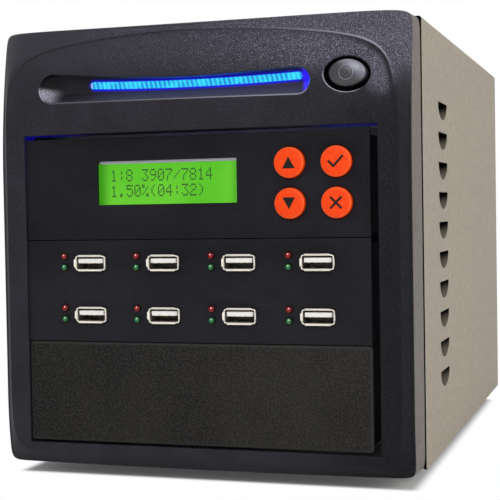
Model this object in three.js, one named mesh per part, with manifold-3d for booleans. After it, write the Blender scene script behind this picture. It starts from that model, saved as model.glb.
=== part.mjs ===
// A desktop duplicator for USB memory sticks: a steel case for three 5.25 inch bays behind a
// moulded bezel. Millimetres, +Z up, the front faces -Y and +X is to the right seen from the front.
// While it is built, Y = 0 is the plane of the bay panels, X = 0 the middle of the case, Z = 0 the floor.
import * as THREE from 'three';
import { mergeVertices } from 'three/addons/utils/BufferGeometryUtils.js';
import Module from 'manifold-3d';

const wasm = await Module();
wasm.setup();

// Case
const SIDE_BORDER = 13.3;
const COVER_LENGTH = 252;
const SHEET = 1;
const FIT_GAP = 0.3;
const SEAM_GAP = 0.5;
const CUT_OVERRUN = 2;
const FOOT_HEIGHT = 6;
const FOOT_RADIUS = 9;
const FOOT_TAPER = 1.5;
const FOOT_INSET = 22;
const FOOT_PEG_RADIUS = 2.5;
const COVER_BEND_RADIUS = 1.2;
const COVER_BEND_STEPS = 4;
const COVER_REAR_FLANGE = 7;

// Bays and their panels
const BAY_COUNT = 3;
const PANEL_WIDTH = 148;
const PANEL_HEIGHT = 42;
const PANEL_GAP = 0.36;
const PANEL_SHIFT = 1.5;
const PANEL_SHEET = 2;
const PANEL_EAR_LENGTH = 38;
const PANEL_EAR_INSET = 2;
const PANEL_EAR_SHEET = 1.2;
const BLANK_EDGE = 0.7;
const BLANK_THICKNESS = 2.6;
const BAY_OPENING_WIDTH = 151.4;
const BAY_TOP_CLEARANCE = 1.8;
const BAY_BOTTOM_CLEARANCE = 0.9;
const BOTTOM_BORDER = 9.5;
const COLLAR_WALL = 1.8;
const COLLAR_DEPTH = 9;

// Bezel: the outer edge, the arched crest and the brow above the bays
const BEZEL_DEPTH = 24;
const BEZEL_WALL = 2.8;
const BEZEL_CORNER_RADIUS = 4;
const SIDE_DRAFT = 0.7;
const ROOF_DRAFT = 1.8;
const EDGE_ROUND = 1.2;
const EDGE_SETBACK = 2.5;
const CORNER_FALL = 8;
const CORNER_FALL_HEIGHT = 61;
const BOTTOM_FALL = 2.5;
const BOTTOM_FALL_HEIGHT = 30;
const EDGE_BOW = 11.2;
const STRIP_PROUD = 0.9;
const BROW_HEIGHT = 44.18;
const BROW_BOW = 11.92;
const BROW_FOOT_BOW = 2.5;
const BROW_FALL = 3.75;
const CREST_FROM_SIDE = 6;
const CREST_BELOW_TOP = 5.2;
const CREST_ABOVE_BOTTOM = 6.3;
const CREST_POWER = 5.5;
const CREST_FOOT_POWER = 14;
const CREST_LIP = 0.2;
const CREST_SHOULDER = 1.7;
const CREST_COVE = 2.6;
const CREST_STEP = 1.86;
const CORNER_FADE_POWER = 12;
const BEZEL_SIDE_STEPS = 8;
const BEZEL_CREST_SHARES = [0.18, 0.38, 0.62, 0.86];
const SNAP_HOOK_WIDTH = 9;
const SNAP_HOOK_THICKNESS = 1.8;
const SNAP_HOOK_PLACE = 60;
const SNAP_HOOK_BARB = 1.2;

// Light slot, light bar and power button in the brow
const BROW_LINE_SHARE = 0.42555;
const SLOT_LEFT_FROM_SIDE = 21.6;
const SLOT_RIGHT_FROM_SIDE = 38.2;
const SLOT_END_RADIUS = 6.6;
const SLOT_WAIST_HALF = 4.75;
const SLOT_TAPER = 2.1;
const SLOT_LEFT_RAMP = 9;
const RAMP_KNEE_SHARE = 0.5;
const SLOT_FLOOR_DEPTH = 1.5;
const SLOT_WALL = 1.8;
const SLOT_END_STEPS = 6;
const SLOT_SIDE_STEPS = 6;
const BAR_LENGTH = 91;
const BAR_HEIGHT = 3.7;
const BAR_SAG = 1.2;
const BAR_PROUD = 0.5;
const BAR_BODY_DEPTH = 6;
const BAR_FLANGE = 1.6;
const BAR_FLANGE_THICKNESS = 1.2;
const BAR_RIB_COUNT = 30;
const BAR_RIB_DEPTH = 0.45;
const RIB_GROOVE_SHARE = 0.4;
const WELL_FROM_SIDE = 24.3;
const WELL_HALF_WIDTH = 9.45;
const WELL_HALF_HEIGHT = 7.15;
const WELL_TAPER = 0.5;
const WELL_DEPTH = 8;
const WELL_WALL = 1.6;
const WELL_SEGMENTS = 28;
const BUTTON_HALF_WIDTH = 7.25;
const BUTTON_HALF_HEIGHT = 5.25;
const BUTTON_DOME = 1.8;
const BUTTON_FRONT = 4;
const BUTTON_SKIRT = 4.6;
const BUTTON_TRAVEL = 2;
const BUTTON_STEM_RADIUS = 2.6;
const BUTTON_STEM_CLEARANCE = 0.25;
const BUTTON_STEM_PROUD = 1.5;
const BUTTON_DOME_STEPS = 4;
const STEM_SEGMENTS = 16;
const PEG_SEGMENTS = 8;
const FRONT_BOARD_Y = 17;
const FRONT_BOARD_HALF_HEIGHT = 7;
const FRONT_BOARD_MARGIN = 8;
const BOARD_THICKNESS = 1.6;
const SWITCH_BODY = 8.5;
const LAMP_RADIUS = 2.5;
const LAMP_COUNT = 4;
const PEG_RADIUS = 2;
const BOARD_PEG_RADIUS = 1.4;
const BOARD_PEG_INSET = 2.4;

// Control panel: display and keys, placed from the middle of the panel
const DISPLAY_CENTRE = 10.9;
const DISPLAY_ABOVE_MIDDLE = 2.3;
const WINDOW_WIDTH = 61;
const WINDOW_HEIGHT = 18;
const LCD_FRAME_WIDTH = 71.2;
const LCD_FRAME_HEIGHT = 25.2;
const LCD_FRAME_DEPTH = 6.4;
const LCD_FRAME_LIP = 3.9;
const LCD_FRAME_SHEET = 0.8;
const LCD_VIEW_DROP = 0.8;
const LCD_GLASS_THICKNESS = 3;
const LCD_BOARD_WIDTH = 80;
const LCD_BOARD_HEIGHT = 36;
const LCD_CHIP_RADIUS = 6;
const LCD_CHIP_TOP_RADIUS = 4;
const LCD_CHIP_HEIGHT = 1.4;
const KEY_COLUMN_CENTRE = 51.4;
const KEY_COLUMN_PITCH = 19;
const KEY_ROW_PITCH = 16.1;
const KEY_ROWS_ABOVE_MIDDLE = 0.6;
const KEY_RADIUS = 6.15;
const KEY_CLEARANCE = 0.3;
const KEY_PROUD = 2.6;
const KEY_EDGE = 0.5;
const KEY_FLANGE = 1;
const KEY_FLANGE_THICKNESS = 0.9;
const KEY_STEM_RADIUS = 1.9;
const KEY_STEM_LENGTH = 2.2;
const KEY_TRAVEL = 0.5;
const KEY_SEGMENTS = 24;
const TACT_BODY = 6;
const TACT_BODY_HEIGHT = 3.4;
const TACT_PLUNGER_RADIUS = 1.7;
const TACT_PLUNGER_HEIGHT = 1;
const STOP_GAP = 0.1;
const KEY_BOARD_MARGIN = 3.4;

// Port panel: two rows of four sockets, each with a red lamp above a green one
const PORT_COLUMNS = 4;
const PORT_ROWS = 2;
const PORT_COLUMN_PITCH = 32.5;
const PORT_COLUMN_CENTRE = 3.95;
const PORT_ROW_PITCH = 21.6;
const PORT_ROWS_ABOVE_MIDDLE = 0.8;
const SHELL_INNER_WIDTH = 12.5;
const SHELL_INNER_HEIGHT = 5.12;
const SHELL_WALL = 0.4;
const SHELL_CORNER = 0.7;
const SHELL_LENGTH = 14;
const SHELL_PROUD = 1;
const SHELL_LIP_LENGTH = 1.2;
const SHELL_LIP_FLARE = 0.6;
const SHELL_LIP_SETBACK = 1.1;
const TONGUE_WIDTH = 11.1;
const TONGUE_THICKNESS = 1.9;
const TONGUE_FROM_TOP = 0.75;
const TONGUE_BASE = 3;
const TONGUE_SETBACK = 1.3;
const LAMP_FROM_PORT = 12.1;
const LAMP_PITCH = 4.6;
const LAMP_PAIR_RISE = 0.55;
const LED_RADIUS = 1.5;
const LED_CLEARANCE = 0.15;
const LED_PROUD = 1.5;
const LED_FLANGE = 0.35;
const LED_FLANGE_THICKNESS = 0.9;
const LED_SEGMENTS = 8;
const LED_DOME_SHARE = 0.4;
const LED_TIP_SHARE = 0.35;
const LED_SHOULDER_SHARE = 0.8;
const PORT_BOARD_MARGIN = 5;
const HUB_CHIP = 12;

// Chassis
const CHASSIS_SIDE_FLANGE = 14;
const CAGE_DEPTH = 96;
const CAGE_INNER_WIDTH = 147;
const CAGE_HEADROOM = 1.5;
const TOP_RAIL_HEIGHT = 12;
const CAGE_WINDOW_SHARES = [0.22, 0.5, 0.78];
const CAGE_WINDOW_LENGTH = 18;
const CAGE_WINDOW_HEIGHT = 70;
const REAR_VENT_COLUMNS = 12;
const REAR_VENT_ROWS = 2;
const REAR_VENT_PITCH = 9;
const REAR_VENT_WIDTH = 4.5;
const REAR_VENT_HEIGHT = 14;
const REAR_VENT_ROW_PITCH = 18;
const REAR_VENT_RISE = 24;

// Power supply in the upper rear corner
const PSU_WIDTH = 125;
const PSU_HEIGHT = 63.5;
const PSU_LENGTH = 100;
const PSU_BELOW_TOP = 8;
const PSU_SIDE_GAP = 4;
const PSU_REAR_RIM = 6;
const FAN_SIZE = 60;
const FAN_DEPTH = 20;
const FAN_BORE_RADIUS = 28.5;
const FAN_EDGE = 2.6;
const FAN_TIP_GAP = 1;
const FAN_HUB_RADIUS = 11.5;
const FAN_BLADES = 7;
const FAN_BLADE_DEPTH = 11;
const FAN_BLADE_THICKNESS = 1.4;
const FAN_BLADE_ROOT_SWEEP = 4.6;
const FAN_BLADE_TIP_SWEEP = 7.6;
const FAN_BLADE_STEPS = 4;
const FAN_STRUTS = 4;
const FAN_STRUT_WIDTH = 4;
const FAN_STRUT_THICKNESS = 2.4;
const FAN_PIN_RADIUS = 1.8;
const FAN_PIN_LENGTH = 9;
const FAN_PIN_CLEARANCE = 0.3;
const FAN_ROUND_SEGMENTS = 28;
const GRILLE_RINGS = 3;
const GRILLE_WEB = 2.4;
const GRILLE_SPOKE = 3;
const GRILLE_HUB_RADIUS = 8;
const GRILLE_STEPS = 5;
const MODULE_WIDTH = 48;
const MODULE_HEIGHT = 49;
const MODULE_CORNER = 5;
const MODULE_BODY_WIDTH = 27.6;
const MODULE_BODY_HEIGHT = 45;
const MODULE_INLET_RISE = 14.5;
const MODULE_ROCKER_DROP = 11.5;
const MODULE_SCREW_SPREAD = 20;
const SCREW_RADIUS = 1.7;
const INLET_FLANGE = 2.4;
const INLET_BODY_DEPTH = 22;
const INLET_RECESS_WIDTH = 24.4;
const INLET_RECESS_HEIGHT = 16.6;
const INLET_RECESS_CHAMFER = 5;
const INLET_RECESS_DEPTH = 17;
const INLET_PIN_WIDTH = 2;
const INLET_PIN_HEIGHT = 4;
const INLET_PIN_LENGTH = 14;
const INLET_PIN_SPREAD = 7;
const INLET_PIN_RISE = 2;
const ROCKER_WIDTH = 19;
const ROCKER_HEIGHT = 13;
const ROCKER_WELL_DEPTH = 12;
const ROCKER_THROW_DEG = 9;
const ROCKER_CLEARANCE = 0.4;
const ROCKER_PIVOT_DEPTH = 3.2;
const ROCKER_PIN_RADIUS = 1.2;
const ROCKER_PIN_LENGTH = 1;
const ROCKER_PROUD = 1.2;
const ROCKER_DISH = 1;
const ROCKER_BELLY = 4;
const REAR_COLUMN_GAP = 3;
const REAR_COLUMN_EDGE = 3.5;

// Controller board on the floor of the case
const CONTROLLER_WIDTH = 140;
const CONTROLLER_LENGTH = 104;
const CONTROLLER_STANDOFF = 6;
const CONTROLLER_CHIP = 27;
const CONTROLLER_SINK_HEIGHT = 14;
const CONTROLLER_SINK_FINS = 7;
const CONTROLLER_SINK_BASE = 3;
const CONTROLLER_SINK_FIN = 1.4;
const CONTROLLER_HEADER_WIDTH = 46;
const CONTROLLER_HEADER_DEPTH = 9;
const CONTROLLER_HEADER_HEIGHT = 9;
const CONTROLLER_REAR_GAP = 8;

// Louvres in the cover's sides
const LOUVRE_COUNT = 10;
const LOUVRE_WIDTH = 23.3;
const LOUVRE_HEIGHT = 7;
const LOUVRE_DEPTH = 3.6;
const LOUVRE_PITCH = 13.05;
const LOUVRE_BELOW_TOP = 31.1;
const LOUVRE_FROM_SEAM = 40.6;
const LOUVRE_ROUND_STEPS = 12;
const LOUVRE_DEPTH_STEPS = 8;

// Places that follow from the sizes above
const halfWidth = BAY_OPENING_WIDTH / 2 + SIDE_BORDER;
const caseBottom = FOOT_HEIGHT;
const openingBottom = caseBottom + BOTTOM_BORDER;
const panelsBottom = openingBottom + BAY_BOTTOM_CLEARANCE;
const panelPitch = PANEL_HEIGHT + PANEL_GAP;
const panelsTop = panelsBottom + BAY_COUNT * panelPitch - PANEL_GAP;
const openingTop = panelsTop + BAY_TOP_CLEARANCE;
const panelX = -PANEL_SHIFT;
const browLine = openingTop + BROW_HEIGHT * BROW_LINE_SHARE;
const caseTop = openingTop + BROW_HEIGHT;
const caseMiddle = (caseBottom + caseTop) / 2;
const halfHeight = (caseTop - caseBottom) / 2;
const crestHalfWidth = halfWidth - CREST_FROM_SIDE;
const slotLeft = halfWidth - SLOT_LEFT_FROM_SIDE;
const slotRight = halfWidth - SLOT_RIGHT_FROM_SIDE;
const wellX = halfWidth - WELL_FROM_SIDE;
const seamFront = BEZEL_DEPTH;
const coverFront = seamFront + SEAM_GAP;
const coverRear = coverFront + COVER_LENGTH;
const rearPanelOuter = coverRear - SHEET - FIT_GAP;
const chassisHalf = halfWidth - SHEET - FIT_GAP;
const chassisFloorTop = caseBottom + SHEET;
const slotFloor = SLOT_FLOOR_DEPTH;
const slotBack = slotFloor + SLOT_WALL;
const wellBack = WELL_DEPTH + WELL_WALL;
const buttonStemEnd = wellBack + BUTTON_STEM_PROUD;

const materials = {
  bezel: [0x2e2d32, 0.55, 0],
  cover: [0x9c958a, 0.6, 0.1],
  panel: [0x232227, 0.6, 0.1],
  blank: [0x262421, 0.7, 0],
  button: [0x3a3b42, 0.35, 0],
  lightBar: [0x10b8ff, 0.2, 0],
  board: [0x1d5a34, 0.6, 0],
  lcdFrame: [0xb9bcc0, 0.3, 0.9],
  lcdGlass: [0x5fd022, 0.1, 0],
  key: [0xff4b10, 0.5, 0],
  shell: [0xcfc9bf, 0.25, 0.95],
  tongue: [0xe6e1d6, 0.5, 0],
  redLamp: [0xa80f1c, 0.2, 0],
  greenLamp: [0x1c7a4a, 0.2, 0],
  steel: [0xb4b7ba, 0.4, 0.8],
  rubber: [0x151515, 0.9, 0],
  fan: [0x1b1b1d, 0.5, 0],
  inlet: [0x141416, 0.5, 0],
};

const builtMaterials = new Map();
function materialOf(name) {
  if (!builtMaterials.has(name)) {
    const [color, roughness, metalness] = materials[name];
    builtMaterials.set(name, new THREE.MeshStandardMaterial({ name, color, roughness, metalness }));
  }
  return builtMaterials.get(name);
}

const object = new THREE.Group();
object.name = 'usb_duplicator';

// Turns a closed three.js geometry into a solid, with its faces pointing out.
function toSolid(geometry) {
  const bare = geometry.index ? geometry.clone() : geometry;
  for (const name of Object.keys(bare.attributes)) {
    if (name !== 'position') bare.deleteAttribute(name);
  }
  const merged = mergeVertices(bare, 1e-4);
  const vertProperties = new Float32Array(merged.attributes.position.array);
  const kept = [];
  const index = merged.index.array;
  let volume = 0;
  const corner = (i) => new THREE.Vector3().fromArray(vertProperties, i * 3);
  for (let i = 0; i < index.length; i += 3) {
    const [a, b, c] = [index[i], index[i + 1], index[i + 2]];
    if (a === b || b === c || a === c) continue;
    kept.push(a, b, c);
    volume += corner(a).dot(corner(b).cross(corner(c)));
  }
  if (volume < 0) {
    for (let i = 0; i < kept.length; i += 3) [kept[i], kept[i + 1]] = [kept[i + 1], kept[i]];
  }
  const triVerts = Uint32Array.from(kept);
  return new wasm.Manifold(new wasm.Mesh({ numProp: 3, vertProperties, triVerts }));
}

function toGeometry(solid) {
  const mesh = solid.getMesh();
  const indexed = new THREE.BufferGeometry();
  const positions = new Float32Array(mesh.numVert * 3);
  for (let i = 0; i < mesh.numVert; i += 1) {
    for (let k = 0; k < 3; k += 1) positions[i * 3 + k] = mesh.vertProperties[i * mesh.numProp + k];
  }
  indexed.setAttribute('position', new THREE.BufferAttribute(positions, 3));
  indexed.setIndex(new THREE.BufferAttribute(new Uint32Array(mesh.triVerts), 1));
  const flat = indexed.toNonIndexed();
  flat.computeVertexNormals();
  return flat;
}

function addNode(name, solid, material) {
  const mesh = new THREE.Mesh(toGeometry(solid), materialOf(material));
  mesh.name = name;
  object.add(mesh);
  return mesh;
}

// A box between two corners, the corners given as [x, y, z].
function block(low, high) {
  const size = high.map((value, k) => value - low[k]);
  const geometry = new THREE.BoxGeometry(...size);
  geometry.translate(...low.map((value, k) => value + size[k] / 2));
  return toSolid(geometry);
}

// A cylinder along Y from front to rear, centred on x and z.
function rod(x, z, front, rear, radius, segments, frontRadius = radius) {
  const geometry = new THREE.CylinderGeometry(radius, frontRadius, rear - front, segments);
  geometry.translate(x, (front + rear) / 2, z);
  return toSolid(geometry);
}

// A cylinder along Z from low to high, centred on x and y.
function post(x, y, low, high, radius, segments, lowRadius = radius) {
  const geometry = new THREE.CylinderGeometry(radius, lowRadius, high - low, segments);
  geometry.rotateX(Math.PI / 2);
  geometry.translate(x, y, (low + high) / 2);
  return toSolid(geometry);
}

// An outline of [x, z] points, extruded along Y from front to rear.
function slab(points, front, rear) {
  const shape = new THREE.Shape(points.map(([x, z]) => new THREE.Vector2(x, -z)));
  const geometry = new THREE.ExtrudeGeometry(shape, { depth: rear - front, bevelEnabled: false });
  geometry.rotateX(-Math.PI / 2);
  geometry.translate(0, front, 0);
  return toSolid(geometry);
}

// An outline of [y, z] points, extruded along X from left to right.
function sideSlab(points, left, right) {
  const shape = new THREE.Shape(points.map(([y, z]) => new THREE.Vector2(y, z)));
  const geometry = new THREE.ExtrudeGeometry(shape, { depth: right - left, bevelEnabled: false });
  geometry.applyMatrix4(new THREE.Matrix4().makeBasis(
    new THREE.Vector3(0, 1, 0), new THREE.Vector3(0, 0, 1), new THREE.Vector3(1, 0, 0)));
  geometry.translate(left, 0, 0);
  return toSolid(geometry);
}

// Skins a row of rings, each a list of [x, y, z] points, and closes both ends with a fan.
function loft(rings) {
  const count = rings[0].length;
  const points = rings.flat();
  const faces = [];
  for (let r = 0; r + 1 < rings.length; r += 1) {
    for (let i = 0; i < count; i += 1) {
      const next = (i + 1) % count;
      const [a, b, c, d] = [r * count + i, r * count + next, (r + 1) * count + next, (r + 1) * count + i];
      faces.push(a, b, c, a, c, d);
    }
  }
  const middleOf = (ring) => [0, 1, 2].map((k) => ring.reduce((sum, p) => sum + p[k], 0) / count);
  const first = points.push(middleOf(rings[0])) - 1;
  const last = points.push(middleOf(rings[rings.length - 1])) - 1;
  const lastRing = (rings.length - 1) * count;
  for (let i = 0; i < count; i += 1) {
    const next = (i + 1) % count;
    faces.push(first, next, i);
    faces.push(last, lastRing + i, lastRing + next);
  }
  const geometry = new THREE.BufferGeometry();
  geometry.setAttribute('position', new THREE.BufferAttribute(new Float32Array(points.flat()), 3));
  geometry.setIndex(faces);
  return toSolid(geometry);
}

function rectangle(x, z, width, height, chamfer = 0) {
  const [w, h] = [width / 2, height / 2];
  if (chamfer === 0) return [[x - w, z - h], [x + w, z - h], [x + w, z + h], [x - w, z + h]];
  return [
    [x - w + chamfer, z - h], [x + w - chamfer, z - h], [x + w, z - h + chamfer], [x + w, z + h - chamfer],
    [x + w - chamfer, z + h], [x - w + chamfer, z + h], [x - w, z + h - chamfer], [x - w, z - h + chamfer],
  ];
}

function oval(x, z, halfX, halfZ, segments) {
  return Array.from({ length: segments }, (_, i) => {
    const angle = (i / segments) * 2 * Math.PI;
    return [x + halfX * Math.cos(angle), z + halfZ * Math.sin(angle)];
  });
}

const atDepth = (outline, y) => outline.map(([x, z]) => [x, y, z]);
const clampShare = (value) => Math.min(1, Math.max(0, value));

// The bezel's front is a row of rings round the middle of the case, each a squared-off oval.
// The depth of a ring's points comes from the bowed brow, the rolled edge and the crest's step.
const cornerPower = (radius, half) => Math.LN2 / -Math.log(1 - (1 - Math.SQRT1_2) * radius / half);

function ringAngles() {
  const quarter = Array.from({ length: BEZEL_SIDE_STEPS }, (_, i) => 1 - (1 - i / BEZEL_SIDE_STEPS) ** 2);
  const corner = Math.atan2(halfHeight, halfWidth);
  const rest = Math.PI / 2 - corner;
  const rising = quarter.map((share) => corner * share);
  const falling = quarter.map((share) => Math.PI / 2 - rest * share).reverse();
  const first = [...rising, corner, ...falling];
  const second = first.slice(0, -1).map((angle) => Math.PI - angle).reverse();
  const upper = [...first, ...second];
  const lower = upper.slice(1, -1).map((angle) => -angle).reverse();
  return [...upper, ...lower];
}

function ringOutline(ring) {
  return ringAngles().map((angle) => {
    const [cos, sin] = [Math.cos(angle), Math.sin(angle)];
    const reach = sin >= 0 ? ring.up : ring.down;
    const power = sin >= 0 ? ring.powerUp : ring.powerDown;
    const radius = (Math.abs(cos / ring.side) ** power + Math.abs(sin / reach) ** power) ** (-1 / power);
    return [radius * cos, caseMiddle + radius * sin];
  });
}

// The outer edge. draft brings its sides in, as a moulding's front is narrower than its foot.
function edgeRing(inset, draft = 0) {
  const power = cornerPower(BEZEL_CORNER_RADIUS, halfWidth);
  const reach = halfHeight - inset;
  return { side: halfWidth - inset - draft, up: reach, down: reach, powerUp: power, powerDown: power };
}

function crestRing(shrink) {
  return {
    side: crestHalfWidth - shrink,
    up: halfHeight - CREST_BELOW_TOP - shrink,
    down: halfHeight - CREST_ABOVE_BOTTOM - shrink,
    powerUp: CREST_POWER,
    powerDown: CREST_FOOT_POWER,
  };
}

// A ring inside the crest, share 0 at the foot of the cove and 1 inside the bay opening.
function shieldRing(share) {
  const crest = crestRing(CREST_COVE);
  const inside = BAY_OPENING_WIDTH / 2 - COLLAR_WALL;
  return {
    side: crest.side + (inside - crest.side) * share,
    up: crest.up + (openingTop - COLLAR_WALL - caseMiddle - crest.up) * share,
    down: crest.down + (caseMiddle - openingBottom - COLLAR_WALL - crest.down) * share,
    powerUp: crest.powerUp + (crest.powerDown - crest.powerUp) * share,
    powerDown: crest.powerDown,
  };
}

const acrossShare = (x) => clampShare(Math.abs(x) / halfWidth);
const riseShare = (z) => clampShare((z - (caseTop - CORNER_FALL_HEIGHT)) / CORNER_FALL_HEIGHT);

function edgeDepth(x, z) {
  const across = acrossShare(x);
  const rise = riseShare(z);
  const drop = clampShare((caseBottom + BOTTOM_FALL_HEIGHT - z) / BOTTOM_FALL_HEIGHT);
  const corner = CORNER_FALL * rise ** 2 * across ** CORNER_FADE_POWER;
  const foot = BOTTOM_FALL * drop ** 2 * across ** 2;
  return EDGE_SETBACK + corner + foot - EDGE_BOW * rise ** 2 * (1 - across ** 2);
}

const browShare = (z) => clampShare((z - openingTop) / BROW_HEIGHT);

function browDepth(x, z) {
  const share = browShare(z);
  const foot = BROW_FOOT_BOW * clampShare(1 - (openingTop - z) / BROW_HEIGHT);
  const bow = foot + (BROW_BOW - BROW_FOOT_BOW) * share;
  const across = clampShare(Math.abs(x) / crestHalfWidth);
  return BROW_FALL * share ** 2 - STRIP_PROUD - bow * (1 - across ** 2);
}

const shieldDepth = (x, z) => browDepth(x, z) + CREST_STEP * browShare(z);

const ringAt = (ring, depth) => ringOutline(ring).map(([x, z]) => [x, depth(x, z), z]);

// A ring of the front's outer edge: the roof falls a little from the seam to the middle of its edge.
function frontRing(inset, depth) {
  const fall = (x, z) => ROOF_DRAFT * riseShare(z) ** 2 * (1 - acrossShare(x) ** 2);
  return ringAt(edgeRing(inset, SIDE_DRAFT), depth).map(([x, y, z]) => [x, y, z - fall(x, z)]);
}

// Everything behind the bezel's front face, back to the seam.
function bezelBody() {
  return loft([
    ringAt(edgeRing(0), () => seamFront),
    frontRing(0, (x, z) => edgeDepth(x, z) + EDGE_ROUND),
    frontRing(EDGE_ROUND, edgeDepth),
    ringAt(crestRing(-CREST_SHOULDER), browDepth),
    ringAt(crestRing(0), (x, z) => browDepth(x, z) - CREST_LIP * browShare(z)),
    ringAt(crestRing(CREST_COVE), shieldDepth),
    ...BEZEL_CREST_SHARES.map((share) => ringAt(shieldRing(share), shieldDepth)),
    ringAt(shieldRing(1), shieldDepth),
  ]);
}

// The hollow behind the front face, one wall inside the body.
function bezelHollow() {
  const behind = (depth) => (x, z) => depth(x, z) + BEZEL_WALL;
  return loft([
    ringAt(edgeRing(BEZEL_WALL), () => seamFront + CUT_OVERRUN),
    frontRing(BEZEL_WALL, (x, z) => edgeDepth(x, z) + BEZEL_WALL + EDGE_ROUND),
    ringAt(crestRing(0), behind(shieldDepth)),
    ringAt(shieldRing(BEZEL_CREST_SHARES[1]), behind(shieldDepth)),
    ringAt(shieldRing(1), behind(shieldDepth)),
  ]);
}

// The slot is a bone shape: round ends and a waist. grow widens it, ramp pulls the left end in.
function slotOutline(grow, ramp = 0) {
  const left = -slotLeft - grow + ramp;
  const right = slotRight + grow;
  const end = SLOT_END_RADIUS + grow;
  const waist = SLOT_WAIST_HALF + grow;
  const points = [];
  const arc = (x, from) => {
    for (let i = 0; i <= SLOT_END_STEPS; i += 1) {
      const angle = from + (i / SLOT_END_STEPS) * Math.PI;
      points.push([x + end * Math.cos(angle), browLine + end * Math.sin(angle)]);
    }
  };
  const side = (sign) => {
    const [from, to] = sign > 0 ? [right - end, left + end] : [left + end, right - end];
    for (let i = 1; i < SLOT_SIDE_STEPS; i += 1) {
      const share = i / SLOT_SIDE_STEPS;
      const half = end + (waist - end) * Math.sin(share * Math.PI) ** 0.5;
      points.push([from + (to - from) * share, browLine + sign * half]);
    }
  };
  arc(right - end, -Math.PI / 2);
  side(1);
  arc(left + end, Math.PI / 2);
  side(-1);
  return points;
}

const barLine = (x) => browLine - BAR_SAG * (1 - (2 * x / BAR_LENGTH) ** 2);

// The light bar's outline: a shallow smile with round ends.
function barOutline(grow) {
  const half = BAR_HEIGHT / 2 + grow;
  const reach = BAR_LENGTH / 2 - BAR_HEIGHT / 2;
  const steps = SLOT_SIDE_STEPS * 2;
  const along = Array.from({ length: steps + 1 }, (_, i) => reach - 2 * reach * i / steps);
  const upper = along.map((x) => [x, barLine(x) + half]);
  const lower = along.map((x) => [x, barLine(x) - half]).reverse();
  const tip = (sign) => {
    const [x, z] = [sign * reach, barLine(reach)];
    const ends = Array.from({ length: SLOT_END_STEPS - 1 }, (_, i) => (i + 1) / SLOT_END_STEPS * Math.PI);
    return ends.map((angle) => [x + sign * half * Math.sin(angle), z + sign * half * -Math.cos(angle)]);
  };
  return [...upper, ...tip(-1), ...lower, ...tip(1)];
}

// Snap hooks reach from the bezel's top and bottom walls through slots in the chassis front plate.
const hookRear = coverFront + SHEET + FIT_GAP + SNAP_HOOK_BARB;

function hookPlaces() {
  return [-1, 1].flatMap((side) => [-1, 1].map((level) => ({
    x: side * SNAP_HOOK_PLACE,
    level,
    outer: caseMiddle + level * (halfHeight - BEZEL_WALL),
  })));
}

function hookBox({ x, level, outer }, depth, front, rear, grow = 0) {
  const inner = outer - level * depth;
  const low = [x - SNAP_HOOK_WIDTH / 2 - grow, front, Math.min(outer, inner) - grow];
  const high = [x + SNAP_HOOK_WIDTH / 2 + grow, rear, Math.max(outer, inner) + grow];
  return block(low, high);
}

function snapHook(place) {
  const root = { ...place, outer: place.outer + place.level * BEZEL_WALL / 2 };
  const foot = hookBox(root, SNAP_HOOK_THICKNESS + BEZEL_WALL / 2, seamFront - COLLAR_DEPTH, seamFront);
  const arm = hookBox(place, SNAP_HOOK_THICKNESS, seamFront - COLLAR_DEPTH, hookRear);
  const barb = hookBox(place, SNAP_HOOK_THICKNESS + SNAP_HOOK_BARB, hookRear - SNAP_HOOK_BARB, hookRear);
  return foot.add(arm).add(barb);
}

// Pegs on the back of the slot's tub carry the board behind the brow.
const frontBoardPegs = [-(slotLeft - SLOT_END_RADIUS), slotRight - PEG_RADIUS / 2];

function frontBezel() {
  const body = bezelBody();
  const halfOpening = BAY_OPENING_WIDTH / 2;
  const farFront = -(BROW_BOW + CUT_OVERRUN);
  const front = browDepth(0, browLine);
  const collar = block(
    [-halfOpening - COLLAR_WALL, farFront, openingBottom - COLLAR_WALL],
    [halfOpening + COLLAR_WALL, COLLAR_DEPTH, openingTop + COLLAR_WALL],
  );
  const wellOval = (grow) => oval(
    wellX, browLine, WELL_HALF_WIDTH + grow, WELL_HALF_HEIGHT + grow, WELL_SEGMENTS,
  );
  const slotTub = slab(slotOutline(SLOT_WALL), farFront, slotBack);
  const wellTub = slab(wellOval(WELL_WALL), farFront, wellBack);
  let bezel = body.subtract(bezelHollow()).add(collar.add(slotTub).add(wellTub).intersect(body));
  for (const place of hookPlaces()) bezel = bezel.add(snapHook(place));
  for (const x of frontBoardPegs) {
    bezel = bezel.add(rod(x, browLine, slotFloor, FRONT_BOARD_Y - FIT_GAP, PEG_RADIUS, PEG_SEGMENTS));
  }
  const opening = block([-halfOpening, farFront, openingBottom], [halfOpening, seamFront, openingTop]);
  const recess = loft([
    atDepth(slotOutline(-SLOT_TAPER, SLOT_LEFT_RAMP), slotFloor),
    atDepth(
      slotOutline(-SLOT_TAPER * RAMP_KNEE_SHARE, SLOT_LEFT_RAMP * RAMP_KNEE_SHARE),
      slotFloor + front * RAMP_KNEE_SHARE,
    ),
    atDepth(slotOutline(0), front),
    atDepth(slotOutline(SLOT_TAPER * RAMP_KNEE_SHARE), front - CUT_OVERRUN),
    atDepth(slotOutline(SLOT_TAPER * RAMP_KNEE_SHARE), farFront),
  ]);
  const barHole = slab(barOutline(FIT_GAP), front, slotBack + CUT_OVERRUN);
  const well = loft([
    atDepth(wellOval(-WELL_TAPER), WELL_DEPTH),
    atDepth(wellOval(0), front),
    atDepth(wellOval(0), farFront),
  ]);
  const stemHole = rod(wellX, browLine, front, wellBack + CUT_OVERRUN,
    BUTTON_STEM_RADIUS + BUTTON_STEM_CLEARANCE, STEM_SEGMENTS);
  for (const cut of [opening, recess, barHole, well, stemHole]) bezel = bezel.subtract(cut);
  addNode('front_bezel', bezel, 'bezel');
}

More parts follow.
